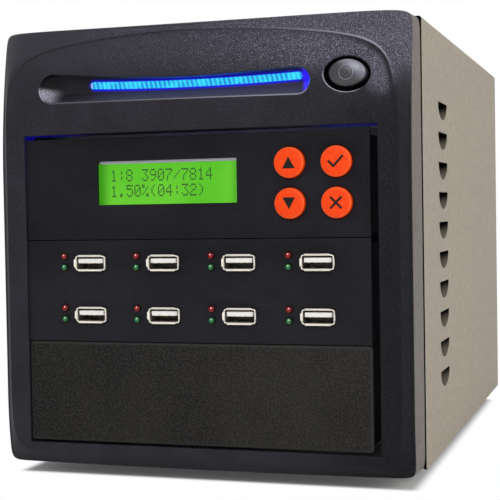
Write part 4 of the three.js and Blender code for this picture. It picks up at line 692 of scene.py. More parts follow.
def slot_outline(grow, sunk=0.0):
    """Round ends, a nearly straight lower edge and an upper edge that dips in the middle.

    Sunk is 0 at the surface and 1 on the floor, one value or one for each point. The lower wall
    slopes evenly and both ends are scoops, wide on the left and narrow on the right."""
    share = (1 - np.cos(np.linspace(0, math.pi, 46)[1:-1])) / 2
    turn, blank = np.linspace(-math.pi / 2, math.pi / 2, 33), np.zeros(44)
    along = np.concatenate([0 * turn, share, 0 * turn + 1, share[::-1]])
    across = np.concatenate([np.cos(turn), blank, -np.cos(turn), blank])
    up = np.concatenate([np.sin(turn), blank + 1, -np.sin(turn), blank - 1])
    dip = np.concatenate([0 * turn, SLOT_DIP * np.sin(share * math.pi) ** 1.15, 0 * turn, blank])
    (right_radius, right_z), (left_radius, left_z) = SLOT_ENDS
    radius = right_radius + (left_radius - right_radius) * along
    scoop = 1 - np.sqrt(1 - np.asarray(sunk) ** 2)
    start = SLOT_RIGHT - right_radius - RIGHT_RAMP * scoop
    end = left_radius - SLOT_LEFT + LEFT_RAMP * scoop
    lift = SLOT_SLOPE / 2 * np.asarray(sunk)
    reach = radius + grow - lift
    z = BROW_LINE + right_z + (left_z - right_z) * along + lift + reach * up - dip
    return np.stack([start + (end - start) * along + (reach + lift) * across, z])


def oval(centre, half_x, half_z, count=96):
    turn = 2 * math.pi * np.arange(count) / count
    return np.stack([centre[0] + half_x * np.cos(turn), centre[1] + half_z * np.sin(turn)])


def rounded_rectangle(low, high, radius, steps=6):
    """An anticlockwise outline. Low and high are the (x, z) corners."""
    left_x, low_z = low[0] + radius, low[1] + radius
    right_x, high_z = high[0] - radius, high[1] - radius
    centres = ((right_x, low_z), (right_x, high_z), (left_x, high_z), (left_x, low_z))
    spots = []
    for corner, (cx, cz) in enumerate(centres):
        for turn in np.linspace((corner - 1) * math.pi / 2, corner * math.pi / 2, steps + 1):
            spots.append((cx + radius * math.cos(turn), cz + radius * math.sin(turn)))
    return np.array(spots).T


def subdivided(outline, longest):
    """The outline with extra points where its sides are long, so that it can follow a curved surface."""
    spots = []
    for start, end in zip(outline.T, np.roll(outline, -1, axis=1).T):
        pieces = max(1, math.ceil(np.linalg.norm(end - start) / longest))
        spots += [start + (end - start) * i / pieces for i in range(pieces)]
    return np.array(spots).T


# %% Make the three cutters
slot_surface = shield_depth(*slot_outline(0))


def slot_wall(depth):
    return slot_outline(0, np.clip((depth - slot_surface) / (SLOT_FLOOR - slot_surface), 0, 1))


SLOT_LIP, WELL_LIP, OPENING_LIP = 0.7, 0.6, 0.5
WELL = (HALF_WIDTH - 24.65, BROW_LINE + 0.8)
WELL_MOUTH, WELL_FOOT, WELL_FLOOR = (9.15, 6.95), (8.65, 6.45), 8

slot_cut = lipped_cutter("slot_cut", slot_wall, outward_of(slot_outline(0)), SLOT_FLOOR, SLOT_LIP)
front_of_well = float(brow_depth(*WELL))
well_wall = wall_through([(WELL_FLOOR, oval(WELL, *WELL_FOOT)), (front_of_well, oval(WELL, *WELL_MOUTH))])
well_cut = lipped_cutter("well_cut", well_wall, outward_of(oval(WELL, *WELL_MOUTH)), WELL_FLOOR, WELL_LIP)
opening = rounded_rectangle((-OPENING_HALF, OPENING_BOTTOM), (OPENING_HALF, OPENING_TOP), 0.5, 3)
opening = subdivided(opening, 4)
opening_wall = wall_through([(SEAM + 2, opening)])
opening_cut = lipped_cutter("opening_cut", opening_wall, outward_of(opening), SEAM + 2, OPENING_LIP)
print("lip radii", SLOT_LIP, WELL_LIP, OPENING_LIP, "mm")

# %% [markdown]
# ## The bezel
# The front is skinned over its rings and hollowed by a second, smaller skin, one wall inside. A
# collar, a tub for the slot and a well for the button are joined inside that shell, and then the
# openings are cut. Booleans suit a moulding like this, because its walls are where volumes meet.

# %% Skin, hollow and cut the bezel
EDGE_ROUND, GROOVE = 1.2, 2.8


def crest_profile():
    """(shrink, extra depth in shares of the crest's step) from the outer shoulder to the cove's foot."""
    shoulder = [(-1.2, 0.0), (-0.95, 0.0), (-0.7, -0.02), (-0.4, -0.06), (-0.2, -0.1)]
    lip = [(-0.08, -0.12), (0.08, -0.11), (0.2, -0.02)]
    cove = [(0.2 + (COVE - 0.2) * (1 - math.cos(a)), -0.02 + 1.02 * math.sin(a))
            for a in np.linspace(0, math.pi / 2, 12)[1:]]
    return shoulder + lip + cove


def bezel_skin():
    outer = edge_ring(0, 1)
    rim, behind = placed(outer, edge_depth(*outer) + EDGE_ROUND), placed(edge_ring(0), SEAM - GROOVE)
    rings = [placed(edge_ring(GROOVE / 2), depth) for depth in (SEAM, SEAM - GROOVE * 0.8)]
    rings += [behind + (rim - behind) * share for share in (0, 0.15, 0.5, 0.85)]
    for turn in np.linspace(0, math.pi / 2, 7):
        outline = edge_ring(EDGE_ROUND * (1 - math.cos(turn)), 1)
        rings.append(placed(outline, edge_depth(*outline) + EDGE_ROUND * (1 - math.sin(turn))))
    start, end = rings[-1], placed(crest_ring(-1.2), brow_depth(*crest_ring(-1.2)))
    rings += [start + (end - start) * share for share in (0.2, 0.4, 0.6, 0.8)]
    for shrink, step in crest_profile():
        outline = crest_ring(shrink)
        rings.append(placed(outline, brow_depth(*outline) + CREST_STEP * step * brow_share(outline[1])))
    for share in np.linspace(0, 1, 22)[1:]:
        outline = shield_ring(share)
        rings.append(placed(outline, shield_depth(*outline)))
    return mesh_of("bezel_skin", *lofted(rings))


def bezel_hollow():
    inner = edge_ring(WALL, 1)
    rings = [placed(edge_ring(WALL), SEAM + 2), placed(inner, edge_depth(*inner) + WALL + EDGE_ROUND)]
    for outline in (crest_ring(0), shield_ring(0.38), shield_ring(1)):
        rings.append(placed(outline, shield_depth(*outline) + WALL))
    return mesh_of("bezel_hollow", *lofted(rings))


# %% The bar's line and plain solids
BAR_LENGTH, BAR_HALF, BAR_SAG, BAR_RISE = 91, 1.8, 1.0, 1.35


def bar_line(x):
    return BROW_LINE + BAR_RISE - BAR_SAG * (1 - (2 * x / BAR_LENGTH) ** 2)


def bar_height(x):
    """The same line for a shader, as a sum of wires."""
    return x * x * (BAR_SAG * 4 / BAR_LENGTH ** 2) + (BROW_LINE + BAR_RISE - BAR_SAG)


def bar_outline(grow):
    half, reach = BAR_HALF + grow, BAR_LENGTH / 2 - BAR_HALF
    along = np.linspace(reach, -reach, 41)
    turn = np.linspace(0, math.pi, 13)[1:-1]
    left_tip = np.stack([-reach - half * np.sin(turn), bar_line(reach) + half * np.cos(turn)])
    upper = np.stack([along, bar_line(along) + half])
    lower = np.stack([along[::-1], bar_line(along[::-1]) - half])
    right_tip = np.stack([reach + half * np.sin(turn), bar_line(reach) - half * np.cos(turn)])
    return np.concatenate([upper, left_tip, lower, right_tip], axis=1)


def plate(name, outline, front, rear):
    """A flat plate from an (x, z) outline between two depths."""
    return mesh_of(name, *lofted([placed(outline, front), placed(outline, rear)]))


def slab_box(name, low, high):
    """A box from two (x, depth, z) corners."""
    outline = np.array([(low[0], low[2]), (high[0], low[2]), (high[0], high[2]), (low[0], high[2])]).T
    return plate(name, outline, low[1], high[1])


# %% Hooks, tubs and the whole bezel
HOOK_X, HOOK_HALF = 60, 4.5
HOOK_PARTS = ((3.2, 15, SEAM), (3.2, 15, 27), (4.4, 25.8, 27))


def snap_hooks():
    """Four hooks of three boxes each: a root on the wall, an arm past the seam, and the catch."""
    hooks = []
    for x in (-HOOK_X, HOOK_X):
        for level in (-1, 1):
            outer = CASE_MIDDLE + level * (HALF_HEIGHT - WALL / 2)
            for inner, front, rear in HOOK_PARTS:
                start = outer if rear == SEAM else outer - level * WALL / 2
                low, high = sorted((start, outer - level * inner))
                hooks.append(slab_box("hook", (x - HOOK_HALF, front, low), (x + HOOK_HALF, rear, high)))
    return hooks


TUB_FRONT, COLLAR_REAR, BAR_HOLE = -14, 9, 0.3
WELL_TUB, WELL_TUB_REAR, STEM_HOLE = (10.75, 8.55), 9.6, 2.85


def make_bezel():
    skin = bezel_skin()
    collar = slab_box("collar", (-OPENING_HALF - COLLAR_WALL, TUB_FRONT, OPENING_BOTTOM - COLLAR_WALL),
                      (OPENING_HALF + COLLAR_WALL, COLLAR_REAR, OPENING_TOP + COLLAR_WALL))
    tubs = [plate("slot_tub", slot_outline(SLOT_WALL), TUB_FRONT, SLOT_FLOOR + SLOT_WALL),
            plate("well_tub", oval(WELL, *WELL_TUB), TUB_FRONT, WELL_TUB_REAR)]
    inner = combine(combine(collar, tubs, "UNION"), [skin], "INTERSECT")
    shell = combine(combine(skin, [bezel_hollow()]), [inner, *snap_hooks()], "UNION")
    bar_hole = plate("bar_hole", bar_outline(BAR_HOLE), -8, 6)
    stem_hole = plate("stem_hole", oval(WELL, STEM_HOLE, STEM_HOLE, 40), 4, 12)
    return combine(shell, [opening_cut, slot_cut, bar_hole, well_cut, stem_hole])


bezel_mesh = make_bezel()
print("bezel:", len(bezel_mesh.polygons), "faces")

# %% [markdown]
# ## Charcoal plastic
# The bezel's plastic is charcoal with a faint violet cast. Its spark-eroded mould leaves a fine grain
# that sparkles. One noise gives both the light specks and the bump. Light and shade are painted into
# the colour: painted shade at the lower right, in the slot, the well, the crest's cove and the seam
# groove, and painted light and glints on the brow, at its upper left, by the button and on the lips.
# The flanks show a warmer, lighter grey like the cover's, as painted light on the brightly lit sides.
# Attributes say which points are on the flanks, how far each lies behind the surface and how far
# from the crest's lip, because a mask in plain coordinates can't follow the rounded forms.
# The blue glow of the lamps behind the slot is painted onto the plastic round it as emission.


# %% The bezel's finish
def mark(mesh, name, values):
    mesh.attributes.new(name, "FLOAT", "POINT").data.foreach_set("value", values.astype(float))


def points_of(mesh):
    points = np.zeros(len(mesh.vertices) * 3)
    mesh.vertices.foreach_get("co", points)
    return points.reshape(-1, 3) / MM


def flank_share(points):
    """1 on the outer walls behind the rolled edge, 0 on the front and inside.

    Reach is about 0.98 or more on the outer face of the walls and under 0.97 on their inner one."""
    x, z = points[:, 0], points[:, 2] - CASE_MIDDLE
    powers = np.abs(x / HALF_WIDTH) ** EDGE_POWER + np.abs(z / HALF_HEIGHT) ** EDGE_POWER
    reach = powers ** (1 / EDGE_POWER)
    behind = points[:, 1] - FRONT - edge_depth(x, points[:, 2]) - EDGE_ROUND
    return (reach > 0.976) * np.clip(behind / 0.3 + 1, 0, 1)


def recess_depth(points):
    """How far a point lies behind the front's own surface, in millimetres."""
    return points[:, 1] - FRONT - shield_depth(points[:, 0], points[:, 2])


def warm_grey(finish, shades=("#9c9386", "#a59c8e", "#b6ad9d")):
    """A warm grey with a fine woven-looking grain: the cover's paint, and painted light on the flanks."""
    mottle, fine = finish.noise(3.2, 3), finish.noise(0.7, 3)
    grey = finish.mix(mottle.fade(0.35, 0.65), shades[0], shades[1])
    return finish.mix(fine.fade(0.42, 0.66) * 0.55, grey, shades[2])


def crest_distance(points):
    """Millimetres outside the crest's lip, negative inside it, for the case's upper half."""
    across = points[:, 0] / CREST_HALF
    up = (points[:, 2] - CASE_MIDDLE) / CREST_TOP / (1 - CREST_ARCH * across ** 2)
    powers = np.abs(across) ** CREST_POWER + np.abs(up) ** CREST_POWER
    return (powers ** (1 / CREST_POWER) - 1) * CREST_HALF


def lit_slot(finish, recess):
    """Painted blue glow in the slot, and its leak at the top of the bays: a colour and its share."""
    x, z = finish.x, finish.z
    in_slot = recess.fade(0.2, 0.8) * (1 - abs(z - BROW_LINE).fade(8, 9)) * (1 - x.fade(51, 52))
    right_end = in_slot * (x - abs(z - BROW_LINE - 1) * 0.25).fade(44.5, 46.2)
    edge = in_slot * x.fade(48.6, 49.6) * (1 - abs(z - BROW_LINE).fade(2, 4))
    past_end, off_line = (abs(x) - BAR_LENGTH / 2 + BAR_HALF).most(0), z - bar_height(x)
    outline = in_slot * (1 - ((past_end * past_end + off_line * off_line) ** 0.5).fade(2.3, 2.9))
    at_top = (1 - z.fade(OPENING_TOP + 0.2, OPENING_TOP + 0.6)) * z.fade(OPENING_TOP - 30, OPENING_TOP - 4)
    leak = at_top * recess.fade(0.8, 2) * (1 - abs(x).fade(OPENING_HALF + 0.3, OPENING_HALF + 0.8))
    leak = leak * abs(x).fade(OPENING_HALF - 32, OPENING_HALF - 12)
    blue = finish.mix(right_end, "#06007c", finish.mix(edge, "#2c08f6", "#0aa0ff"))
    return blue, (right_end + outline + leak * 0.6).least(1)


# %% The bezel's colours
SLOT_MIDDLE, SLOT_REACH = -9, 61


def plastic_tones(finish, up, grain):
    """Painted shade at the lower right, painted light and glints on the brow and upper left, and specks."""
    x = finish.x
    brow = up.fade(-6, 20) * x.fade(-75, 75)
    near_button = 1 - (((x - 77) / 8) ** 2 + ((up - 2) / 11) ** 2).fade(0.1, 1.1)
    above_slot = x.fade(5, 55) * (1 - abs(up - 9).fade(3, 9)) * 0.6
    sheen = near_button.most(above_slot)
    return finish.layered(
        "#232227",
        (finish.noise(17, 2).fade(0.35, 0.65), "#29282e"),
        (x.fade(30, 80) * (1 - up.fade(-16, 2)) * 0.9, "#0f0e12"),
        (up.fade(0, 20) * (1 - x.fade(-60, 30)) * 0.6, "#3c3b41"),
        ((brow * 0.75).most(sheen * 0.8), "#46444f"),
        (grain.fade(0.5, 0.68) * (0.05 + 0.45 * brow + 0.45 * sheen).least(0.9), "#a39fb4"))


def slot_tones(finish, charcoal, up, grain, recess, in_span):
    """Painted shade on the slot's walls and left pocket; painted light on the lower wall and left scoop."""
    x = finish.x
    in_slot = recess.fade(0.15, 0.8) * (1 - abs(up).fade(8, 9)) * in_span
    lit_low_wall = in_slot * (1 - up.fade(-2.8, -0.6)) * x.fade(-62, -20)
    slant = up + (x + 60) * 0.12
    pocket = in_slot * slant.fade(-0.4, 1.6) * (1 - x.fade(-63, -52))
    speckled = 0.25 + 0.75 * grain.fade(0.42, 0.6)
    scoop = in_slot * (1 - slant.fade(-1.6, 0.8)) * (1 - x.fade(-67.5, -57)) * speckled
    return finish.layered(
        charcoal,
        (in_slot * (1 - lit_low_wall) * 0.8, "#1d1c20"),
        (lit_low_wall * 0.9, "#4d4859"),
        (pocket * 0.85, "#08080a"),
        (scoop, "#c4c2d2"))


def lip_tones(finish, charcoal, up, recess, crest, in_span):
    """Painted shade in the well and the crest's cove, and painted highlights along the lips."""
    x = finish.x
    near_well = 1 - (((x - WELL[0]) / 11) ** 2 + ((finish.z - WELL[1]) / 9) ** 2).fade(0.9, 1.1)
    lip = recess.fade(0.02, 0.12) * (1 - recess.fade(0.3, 0.5))
    slot_lip = lip * in_span * up.fade(-9, -8)
    low_lip = slot_lip * (1 - up.fade(-5, -3.5)) * (0.15 + 0.35 * x.fade(-60, 40))
    left_lip = slot_lip * (1 - x.fade(-67, -64)) * (1 - up.fade(-1, 2))
    well_lip = lip * near_well * (1 - (up + (x - WELL[0]) * 0.5).fade(-5, -1))
    crest_lip = (1 - abs(crest + 0.1).fade(0.1, 0.45)) * up.fade(-2, 14) * x.fade(-10, 86) ** 2
    cove = crest.fade(-3, -1.2) * (1 - crest.fade(-0.6, -0.4)) * up.fade(-14, 0) * x.fade(55, 78)
    return finish.layered(
        charcoal,
        (recess.fade(0.5, 1.2) * near_well, "#060608"),
        (low_lip.most(left_lip * 0.8).most(well_lip * 0.9).most(crest_lip * 0.8), "#b4b1c0"),
        (cove * 0.8, "#19181c"))


def bezel_finish():
    finish = Finish("charcoal_plastic", specular_ior_level=0.12)
    flank, recess, crest = (finish.attribute(name) for name in ("flank", "recess", "crest"))
    up, grain = finish.z - BROW_LINE, finish.noise(0.34, 1)
    in_span = 1 - abs(finish.x - SLOT_MIDDLE).fade(SLOT_REACH, SLOT_REACH + 1)
    charcoal = plastic_tones(finish, up, grain)
    charcoal = slot_tones(finish, charcoal, up, grain, recess, in_span)
    charcoal = lip_tones(finish, charcoal, up, recess, crest, in_span)
    # Painted shade: the seam groove at the back of the flanks is near black.
    groove_shade = (finish.y - FRONT).fade(SEAM - GROOVE - 0.1, SEAM - GROOVE + 0.1)
    side = finish.mix(groove_shade, warm_grey(finish, ("#655f57", "#706a62", "#7f796f")), "#0b0a0a")
    # Painted light: the flanks get a warm grey like the cover's, a little darker, instead of charcoal.
    finish.set(base_color=finish.mix(flank, charcoal, side), roughness=0.5 - grain * 0.12)
    # Painted glow: emission on the plastic stands in for the lamps' blue light in the slot and above the
    # bays.
    blue, share = lit_slot(finish, recess)
    finish.set(emission_color=finish.mix(share, (0, 0, 0, 1), blue), emission_strength=1)
    return finish.bump(grain, 0.05).material


bezel_points = points_of(bezel_mesh)
mark(bezel_mesh, "flank", flank_share(bezel_points))
mark(bezel_mesh, "recess", recess_depth(bezel_points))
mark(bezel_mesh, "crest", crest_distance(bezel_points))
bezel = finish_piece("bezel", bezel_mesh, bezel_finish(), stands_for=["front_bezel"], sharp=42)

# %% [markdown]
# ## The louvred cover
# The cover is one folded steel sheet. Each side has a column of louvres: the sheet is cut along a
# flat line and pressed inwards below it, which leaves a half-round scoop that is open at its top.
# Scoop and hollow are two egg quarters of different size, lofted as D shapes. A grid tree repeats
# them, and they are joined to the sheet and cut out of it. The hollow flares at the skin, which
# gives the bent edge its radius. The hollows, the cover's front edge and the bezel's seam groove
# have a second material of painted shade, dark and without sheen, because little light reaches
# into them; towards the lower rear of each louvre it turns to a painted lit grey. A painted
# highlight runs as a thin light line along the front and top edges of the louvres.

# %% Louvre masters
SHEET, BEND, FLANGE = 1, 1.2, 7
LOUVRE_WIDTH, LOUVRE_HEIGHT, LOUVRE_DEPTH, LOUVRE_PITCH, LOUVRES = 23.3, 7, 3.6, 13.05, 10
LOUVRE_SETBACK, LOUVRE_DROP = 40.6, 31.1
LOUVRE_Y = FRONT + SEAM + 0.5 + LOUVRE_SETBACK + LOUVRE_WIDTH / 2
LOUVRE_TOP = CASE_TOP - LOUVRE_DROP
FLARE = 0.8


def scoop(name, side, grow, flare, start):
    """An egg quarter under a flat top. It runs inwards from start millimetres behind the skin."""
    depth = LOUVRE_DEPTH + grow
    levels = [(start, 1)] if grow else [(-2, 1), (-0.02, 1)]
    levels += [(depth * math.sin(a), math.cos(a)) for a in np.linspace(0.02, 1.5, 18)
               if depth * math.sin(a) > start]
    turn = np.linspace(-math.pi, 0, 33)
    rings = []
    for inward, share in levels:
        out = 0
        if flare:
            out = flare * (1 - math.sqrt(max(0, 1 - max(0, 1 - max(inward, 0) / flare) ** 2)))
        y = LOUVRE_Y + ((LOUVRE_WIDTH / 2 + grow) * share + out) * np.cos(turn)
        z = LOUVRE_TOP + ((LOUVRE_HEIGHT + grow) * share + out) * np.sin(turn)
        rings.append(np.stack([0 * y + side * (HALF_WIDTH - inward), y, z], axis=1))
    return mesh_of(name, *lofted(rings))


# %% The sheet with its louvres
def folded_sheet(inset, radius, front, rear):
    """A sheet over the case's sides and top. Its inner face is inset, with corners of that radius."""
    def profile(inset, radius):
        turn = np.linspace(0, math.pi / 2, 9)
        right_side = HALF_WIDTH - inset - radius + radius * np.cos(turn)
        top = CASE_TOP - inset - radius + radius * np.sin(turn)
        half = np.stack([np.append(HALF_WIDTH - inset, right_side), np.append(CASE_BOTTOM, top)])
        return np.concatenate([half, half[:, ::-1] * [[-1], [1]]], axis=1)

    outer, inner = profile(0, BEND), profile(inset, radius)
    count = outer.shape[1]
    ring = np.concatenate([outer, inner[:, ::-1]], axis=1)
    points = np.concatenate([np.stack([ring[0], 0 * ring[0] + y, ring[1]], axis=1) for y in (front, rear)])
    total = 2 * count
    faces = [(i, (i + 1) % total, (i + 1) % total + total, i + total) for i in range(total)]
    for base in (0, total):
        last = base + total - 1
        faces += [(base + i, base + i + 1, last - 1 - i, last - i) for i in range(count - 1)]
    return mesh_of("sheet", points, faces)


def make_cover():
    shell = folded_sheet(SHEET, BEND - SHEET, cover_low.y, cover_high.y)
    flange = folded_sheet(FLANGE, BEND, cover_high.y - SHEET, cover_high.y)

    def column(*form):
        return on_grid(scoop(*form), None, 1, (0, 0, 0), LOUVRES, (0, 0, -LOUVRE_PITCH))

    scoops = [column("scoop", side, SHEET, 0, SHEET / 2) for side in (-1, 1)]
    hollows = [column("hollow", side, 0, FLARE, 0) for side in (-1, 1)]
    return combine(combine(shell, [flange, *scoops], "UNION"), hollows)


# %% The cover's two finishes
def below_edge(finish):
    """Millimetres below the straight upper edge of the nearest louvre, from -1."""
    return ((LOUVRE_TOP + 1 - finish.z) / LOUVRE_PITCH).fraction() * LOUVRE_PITCH - 1


def in_column(finish):
    """1 between the front and rear ends of the louvres."""
    return 1 - abs(finish.y - LOUVRE_Y).fade(12.6, 13.4)


def cover_finish():
    finish = Finish("warm_grey_paint", roughness=0.65, specular_ior_level=0.08)
    depth = HALF_WIDTH - abs(finish.x)
    beside = in_column(finish) * (1 - (finish.z - LOUVRE_TOP).fade(1, 2))
    front_or_top = (1 - (finish.y - LOUVRE_Y).fade(-9, -5)).most(1 - below_edge(finish).fade(0, 0.4))
    # Painted highlight: a thin light line on the lip along each louvre's front and top edges.
    wear_and_highlight = depth.fade(0.001, 0.02) * (1 - depth.fade(0.3, 0.5)) * beside * front_or_top
    finish.set(base_color=finish.mix(wear_and_highlight * 0.8, warm_grey(finish), "#efe9dc"))
    finish.bump(finish.noise(0.55, 3) + finish.noise(1.6, 1) * 0.5, 0.06)
    return finish.material


def shaded_finish():
    """Painted shade for hollows and seams. A sheen would turn it grey at a low angle, so it has none."""
    finish = Finish("shaded_hollow", roughness=1.0, specular_ior_level=0.0)
    down = below_edge(finish) / LOUVRE_HEIGHT + (finish.y - LOUVRE_Y) * 0.03
    # Painted light: a lit warm grey low and to the rear in each louvre; the rest is near black.
    lit = down.fade(0.45, 1.2) * in_column(finish) * 0.7
    black = finish.mix(finish.noise(1.5, 2), "#030303", "#0c0b0a")
    finish.set(base_color=finish.mix(lit, black, "#847c70"))
    finish.bump(finish.noise(0.55, 3), 0.05)
    return finish.material


def shade(obj, finish, chosen):
    """Gives a second material to the polygons that `chosen` picks by centre, in mm, and normal."""
    obj.data.materials.append(finish)
    picked = [face for face in obj.data.polygons if chosen(face.center * 1000, face.normal)]
    for face in picked:
        face.material_index = 1
    print(f"{obj.name}: {len(picked)} polygons shaded")


def in_louvre(centre):
    beside = abs(centre.y - LOUVRE_Y) < 13 and centre.z < LOUVRE_TOP + 2
    return beside and 0.12 < HALF_WIDTH - abs(centre.x) < 6


def front_edge(centre, normal):
    return normal.y < -0.9 and centre.y < FRONT + SEAM + 2


cover = finish_piece("cover_shell", make_cover(), cover_finish(), "case", ["cover"], sharp=30)
shaded = shaded_finish()
shade(cover, shaded, lambda centre, normal: in_louvre(centre) or front_edge(centre, normal))
shade(bezel, shaded, lambda centre, normal: centre.y > FRONT + SEAM - GROOVE + 0.05)

# %% [markdown]
# ## Power button
# The button is an oval dome of satin plastic, deep in its well, with a moulded ring and dot as the
# power mark. It is lofted from ovals that shrink as a cosine while they rise as a sine.


# %% The button and its mark
CAP = (WELL[0], WELL[1] + 0.3)
CAP_HALF_X, CAP_HALF_Z, CAP_FRONT, CAP_DOME = 7.25, 5.3, -4, 1.8
STEM_RADIUS, STEM_FRONT, STEM_REAR = 2.6, 2.8, 11.1


def button_mesh():
    rings = [placed(oval(CAP, CAP_HALF_X, CAP_HALF_Z), depth) for depth in (4.6, 1, -2)]
    for turn in np.linspace(0.12, math.pi / 2 - 0.03, 14):
        share = math.cos(turn)
        depth = CAP_DOME * (1 - math.sin(turn)) + CAP_FRONT
        rings.append(placed(oval(CAP, CAP_HALF_X * share, CAP_HALF_Z * share), depth))
    cap = mesh_of("cap", *lofted(rings))
    stem = plate("stem", oval(WELL, STEM_RADIUS, STEM_RADIUS, 32), STEM_FRONT, STEM_REAR)
    return combine(cap, [stem], "UNION")


def ring_mask(radius, middle, half):
    """A mask of a ring, from the distance to its centre."""
    return 1 - abs(radius - middle).fade(half - 0.07, half + 0.07)


def button_finish():
    finish = Finish("satin_grey_plastic", roughness=0.3, specular_ior_level=0.9)
    u, w = finish.x - CAP[0], finish.z - CAP[1]
    radius = (u * u + w * w) ** 0.5
    rings = ring_mask(radius, 2.35, 0.16).most(ring_mask(radius, 1.1, 0.13))
    cut = rings.most(1 - radius.fade(0.3, 0.42))
    raised = ring_mask(radius, 2.72, 0.12)
    grain = finish.noise(0.4, 2)
    grey = finish.mix(grain.fade(0.4, 0.7), "#1b1b20", "#29292f")
    # Painted highlight: the dome turns lighter towards its upper right.
    grey = finish.mix((u * 0.8 + w).fade(-0.5, 7) * 0.75, grey, "#8f8f9f")
    # Painted highlight on the raised ring, and painted shade in the cut rings and the dot.
    grey = finish.mix(raised * 0.7, grey, "#9c9caa")
    finish.set(base_color=finish.mix(cut * 0.8, grey, "#060608"))
    return finish.bump(grain * 0.12 - cut + raised * 0.6, 0.15).material


finish_piece("button_cap", button_mesh(), button_finish(), "power_button", ["power_button"])

# %% [markdown]
# ## Light bar
# A clear bar shines behind the slot. Upright ribs on its face spread the light of the lamps behind
# it. The ribs follow the bar's shallow smile, so their places are computed and a point tree sets
# one low half-round at each.


# %% The ribbed light bar
RIBS, RIBBED_LENGTH, RIB_DEPTH, RIB_SHARE, RIB_HALF = 44, 87.3, 0.45, 0.46, 1.7
BAR_FRONT, BAR_REAR = 1.45, 9.3


def bar_mesh():
    body = plate("bar", bar_outline(0), BAR_FRONT, BAR_REAR)
    flange = plate("flange", bar_outline(1.6), 3.6, 4.8)
    pitch = RIBBED_LENGTH / RIBS
    turn = np.linspace(0, math.pi, 6)
    outline = [(math.cos(t) * pitch * RIB_SHARE, -math.sin(t) * RIB_DEPTH) for t in turn]
    outline += [(-pitch * RIB_SHARE, 0.2), (pitch * RIB_SHARE, 0.2)]
    rings = [[(x, y, z) for x, y in outline] for z in (-RIB_HALF, RIB_HALF)]
    along = [(i + 0.5 - RIBS / 2) * pitch for i in range(RIBS)]
    places = [(x, FRONT + BAR_FRONT, bar_line(x)) for x in along]
    ribs = at_points(mesh_of("rib", *lofted(rings)), None, places)
    return combine(body, [flange, ribs], "UNION")


def bar_finish():
    finish = Finish("lit_clear_plastic", base_color="#0a3a8c", roughness=0.2,
                    specular_ior_level=0.3, emission_strength=1)
    middle = finish.z - bar_height(finish.x)
    slanted = finish.x + middle * 0.25
    ribs = (slanted * (2 * math.pi * RIBS / RIBBED_LENGTH)).sine() * 0.5 + 0.5
    cyan = finish.mix(ribs.fade(0.2, 0.8), "#1689c8", "#2fd6f2")
    cyan = finish.mix(finish.noise(5, 2).fade(0.45, 0.7) * 0.5, cyan, "#3cf0ff")
    edge = abs(middle).fade(1.25, 1.6)
    tip = 1 - (finish.x + 43.7 + middle * middle * 0.3).fade(-1.3, -0.6)
    blue = finish.mix(edge, finish.mix(tip * 0.9, cyan, "#b6a4ff"), "#1208b8")
    behind = (finish.y - FRONT).fade(1.9, 2.6)
    return finish.set(emission_color=finish.mix(behind, blue, "#1000d0")).material


finish_piece("light_bar_lens", bar_mesh(), bar_finish(), stands_for=["light_bar"], sharp=30)

# %% [markdown]
# ## Sheet panels and mouldings that keep their CAD shape
# The bay panels, the chassis and the power supply's box already have the right shape, but their
# edges are razor sharp, and no real edge is. A merged copy of each node gets a small bevel, which
# gives the edge its highlight. The finishes differ: fine powder on the panels, a leather-like grain
# on the blank, bright zinc on the steel.


# %% Finishes for panels, blank and steel
def panel_finish():
    finish = Finish("black_powder_coat", roughness=0.55, specular_ior_level=0.1)
    grain, broad = finish.noise(0.35, 3), finish.noise(30, 2)
    finish.set(base_color=finish.layered(
        "#101013",
        (broad.fade(0.3, 0.7), "#1a191e"),
        ((1 - finish.z.fade(70, 110)) * 0.35, "#2a292d"),
        (grain.fade(0.45, 0.7) * 0.4, "#36353d")))
    return finish.bump(grain, 0.04).material


def blank_finish():
    finish = Finish("grained_black_plastic", roughness=0.6, specular_ior_level=0.12)
    pores, fine = finish.cells(0.8), finish.noise(0.4, 3)
    middle = middle_of("bay_blank")
    across, up = abs(finish.x - middle[0]), abs(finish.z - middle[1])
    # Painted shade darkens the blank towards its left end; a painted highlight lightens its rounded rim.
    rim = across.fade(72.8, 74).most(up.fade(19.6, 21))
    finish.set(base_color=finish.layered(
        "#1a1918",
        (finish.noise(24, 3).fade(0.3, 0.7), "#242320"),
        ((1 - finish.x.fade(-80, -20)) * 0.7, "#10100f"),
        (pores.fade(0.35, 0.7) * 0.5, "#3a3834"),
        (rim * 0.55, "#4b4a49")))
    return finish.bump(pores * 0.7 + fine * 0.6, 0.09).material


def steel_finish():
    finish = Finish("zinc_plated_steel", metallic=0.9)
    brushed, patches = finish.noise(0.6, 3, stretch=(1, 0.04, 1)), finish.noise(40, 2)
    spangle = finish.node("ShaderNodeSeparateColor", inputs={0: finish.cells(6, output=1)})
    grey = finish.mix(patches.fade(0.3, 0.7) * 0.5 + spangle * 0.35, "#9c9fa2", "#b7babc")
    finish.set(base_color=grey, roughness=0.34 + brushed * 0.2)
    return finish.bump(brushed, 0.01).material


def board_finish():
    finish = Finish("green_circuit_board", roughness=0.4, coat_weight=0.2)
    lanes = (finish.x * 2.1).sine() * (finish.z * 0.9 + finish.y * 0.9).sine()
    traces = abs(lanes).fade(0.3, 0.5) * finish.noise(4, 1).fade(0.45, 0.55)
    green = finish.mix(traces, "#174d2c", "#2d7a48")
    dots = 1 - finish.cells(3.3).fade(0.16, 0.22)
    return finish.set(base_color=finish.mix(dots * 0.8, green, "#c8c3a8")).bump(traces, 0.04).material


BLANK_THICK, STEP_THICK, STEP_LAP, FIN_THICK, FIN_LAP = 2.6, 0.5, 1.8, 0.5, 3


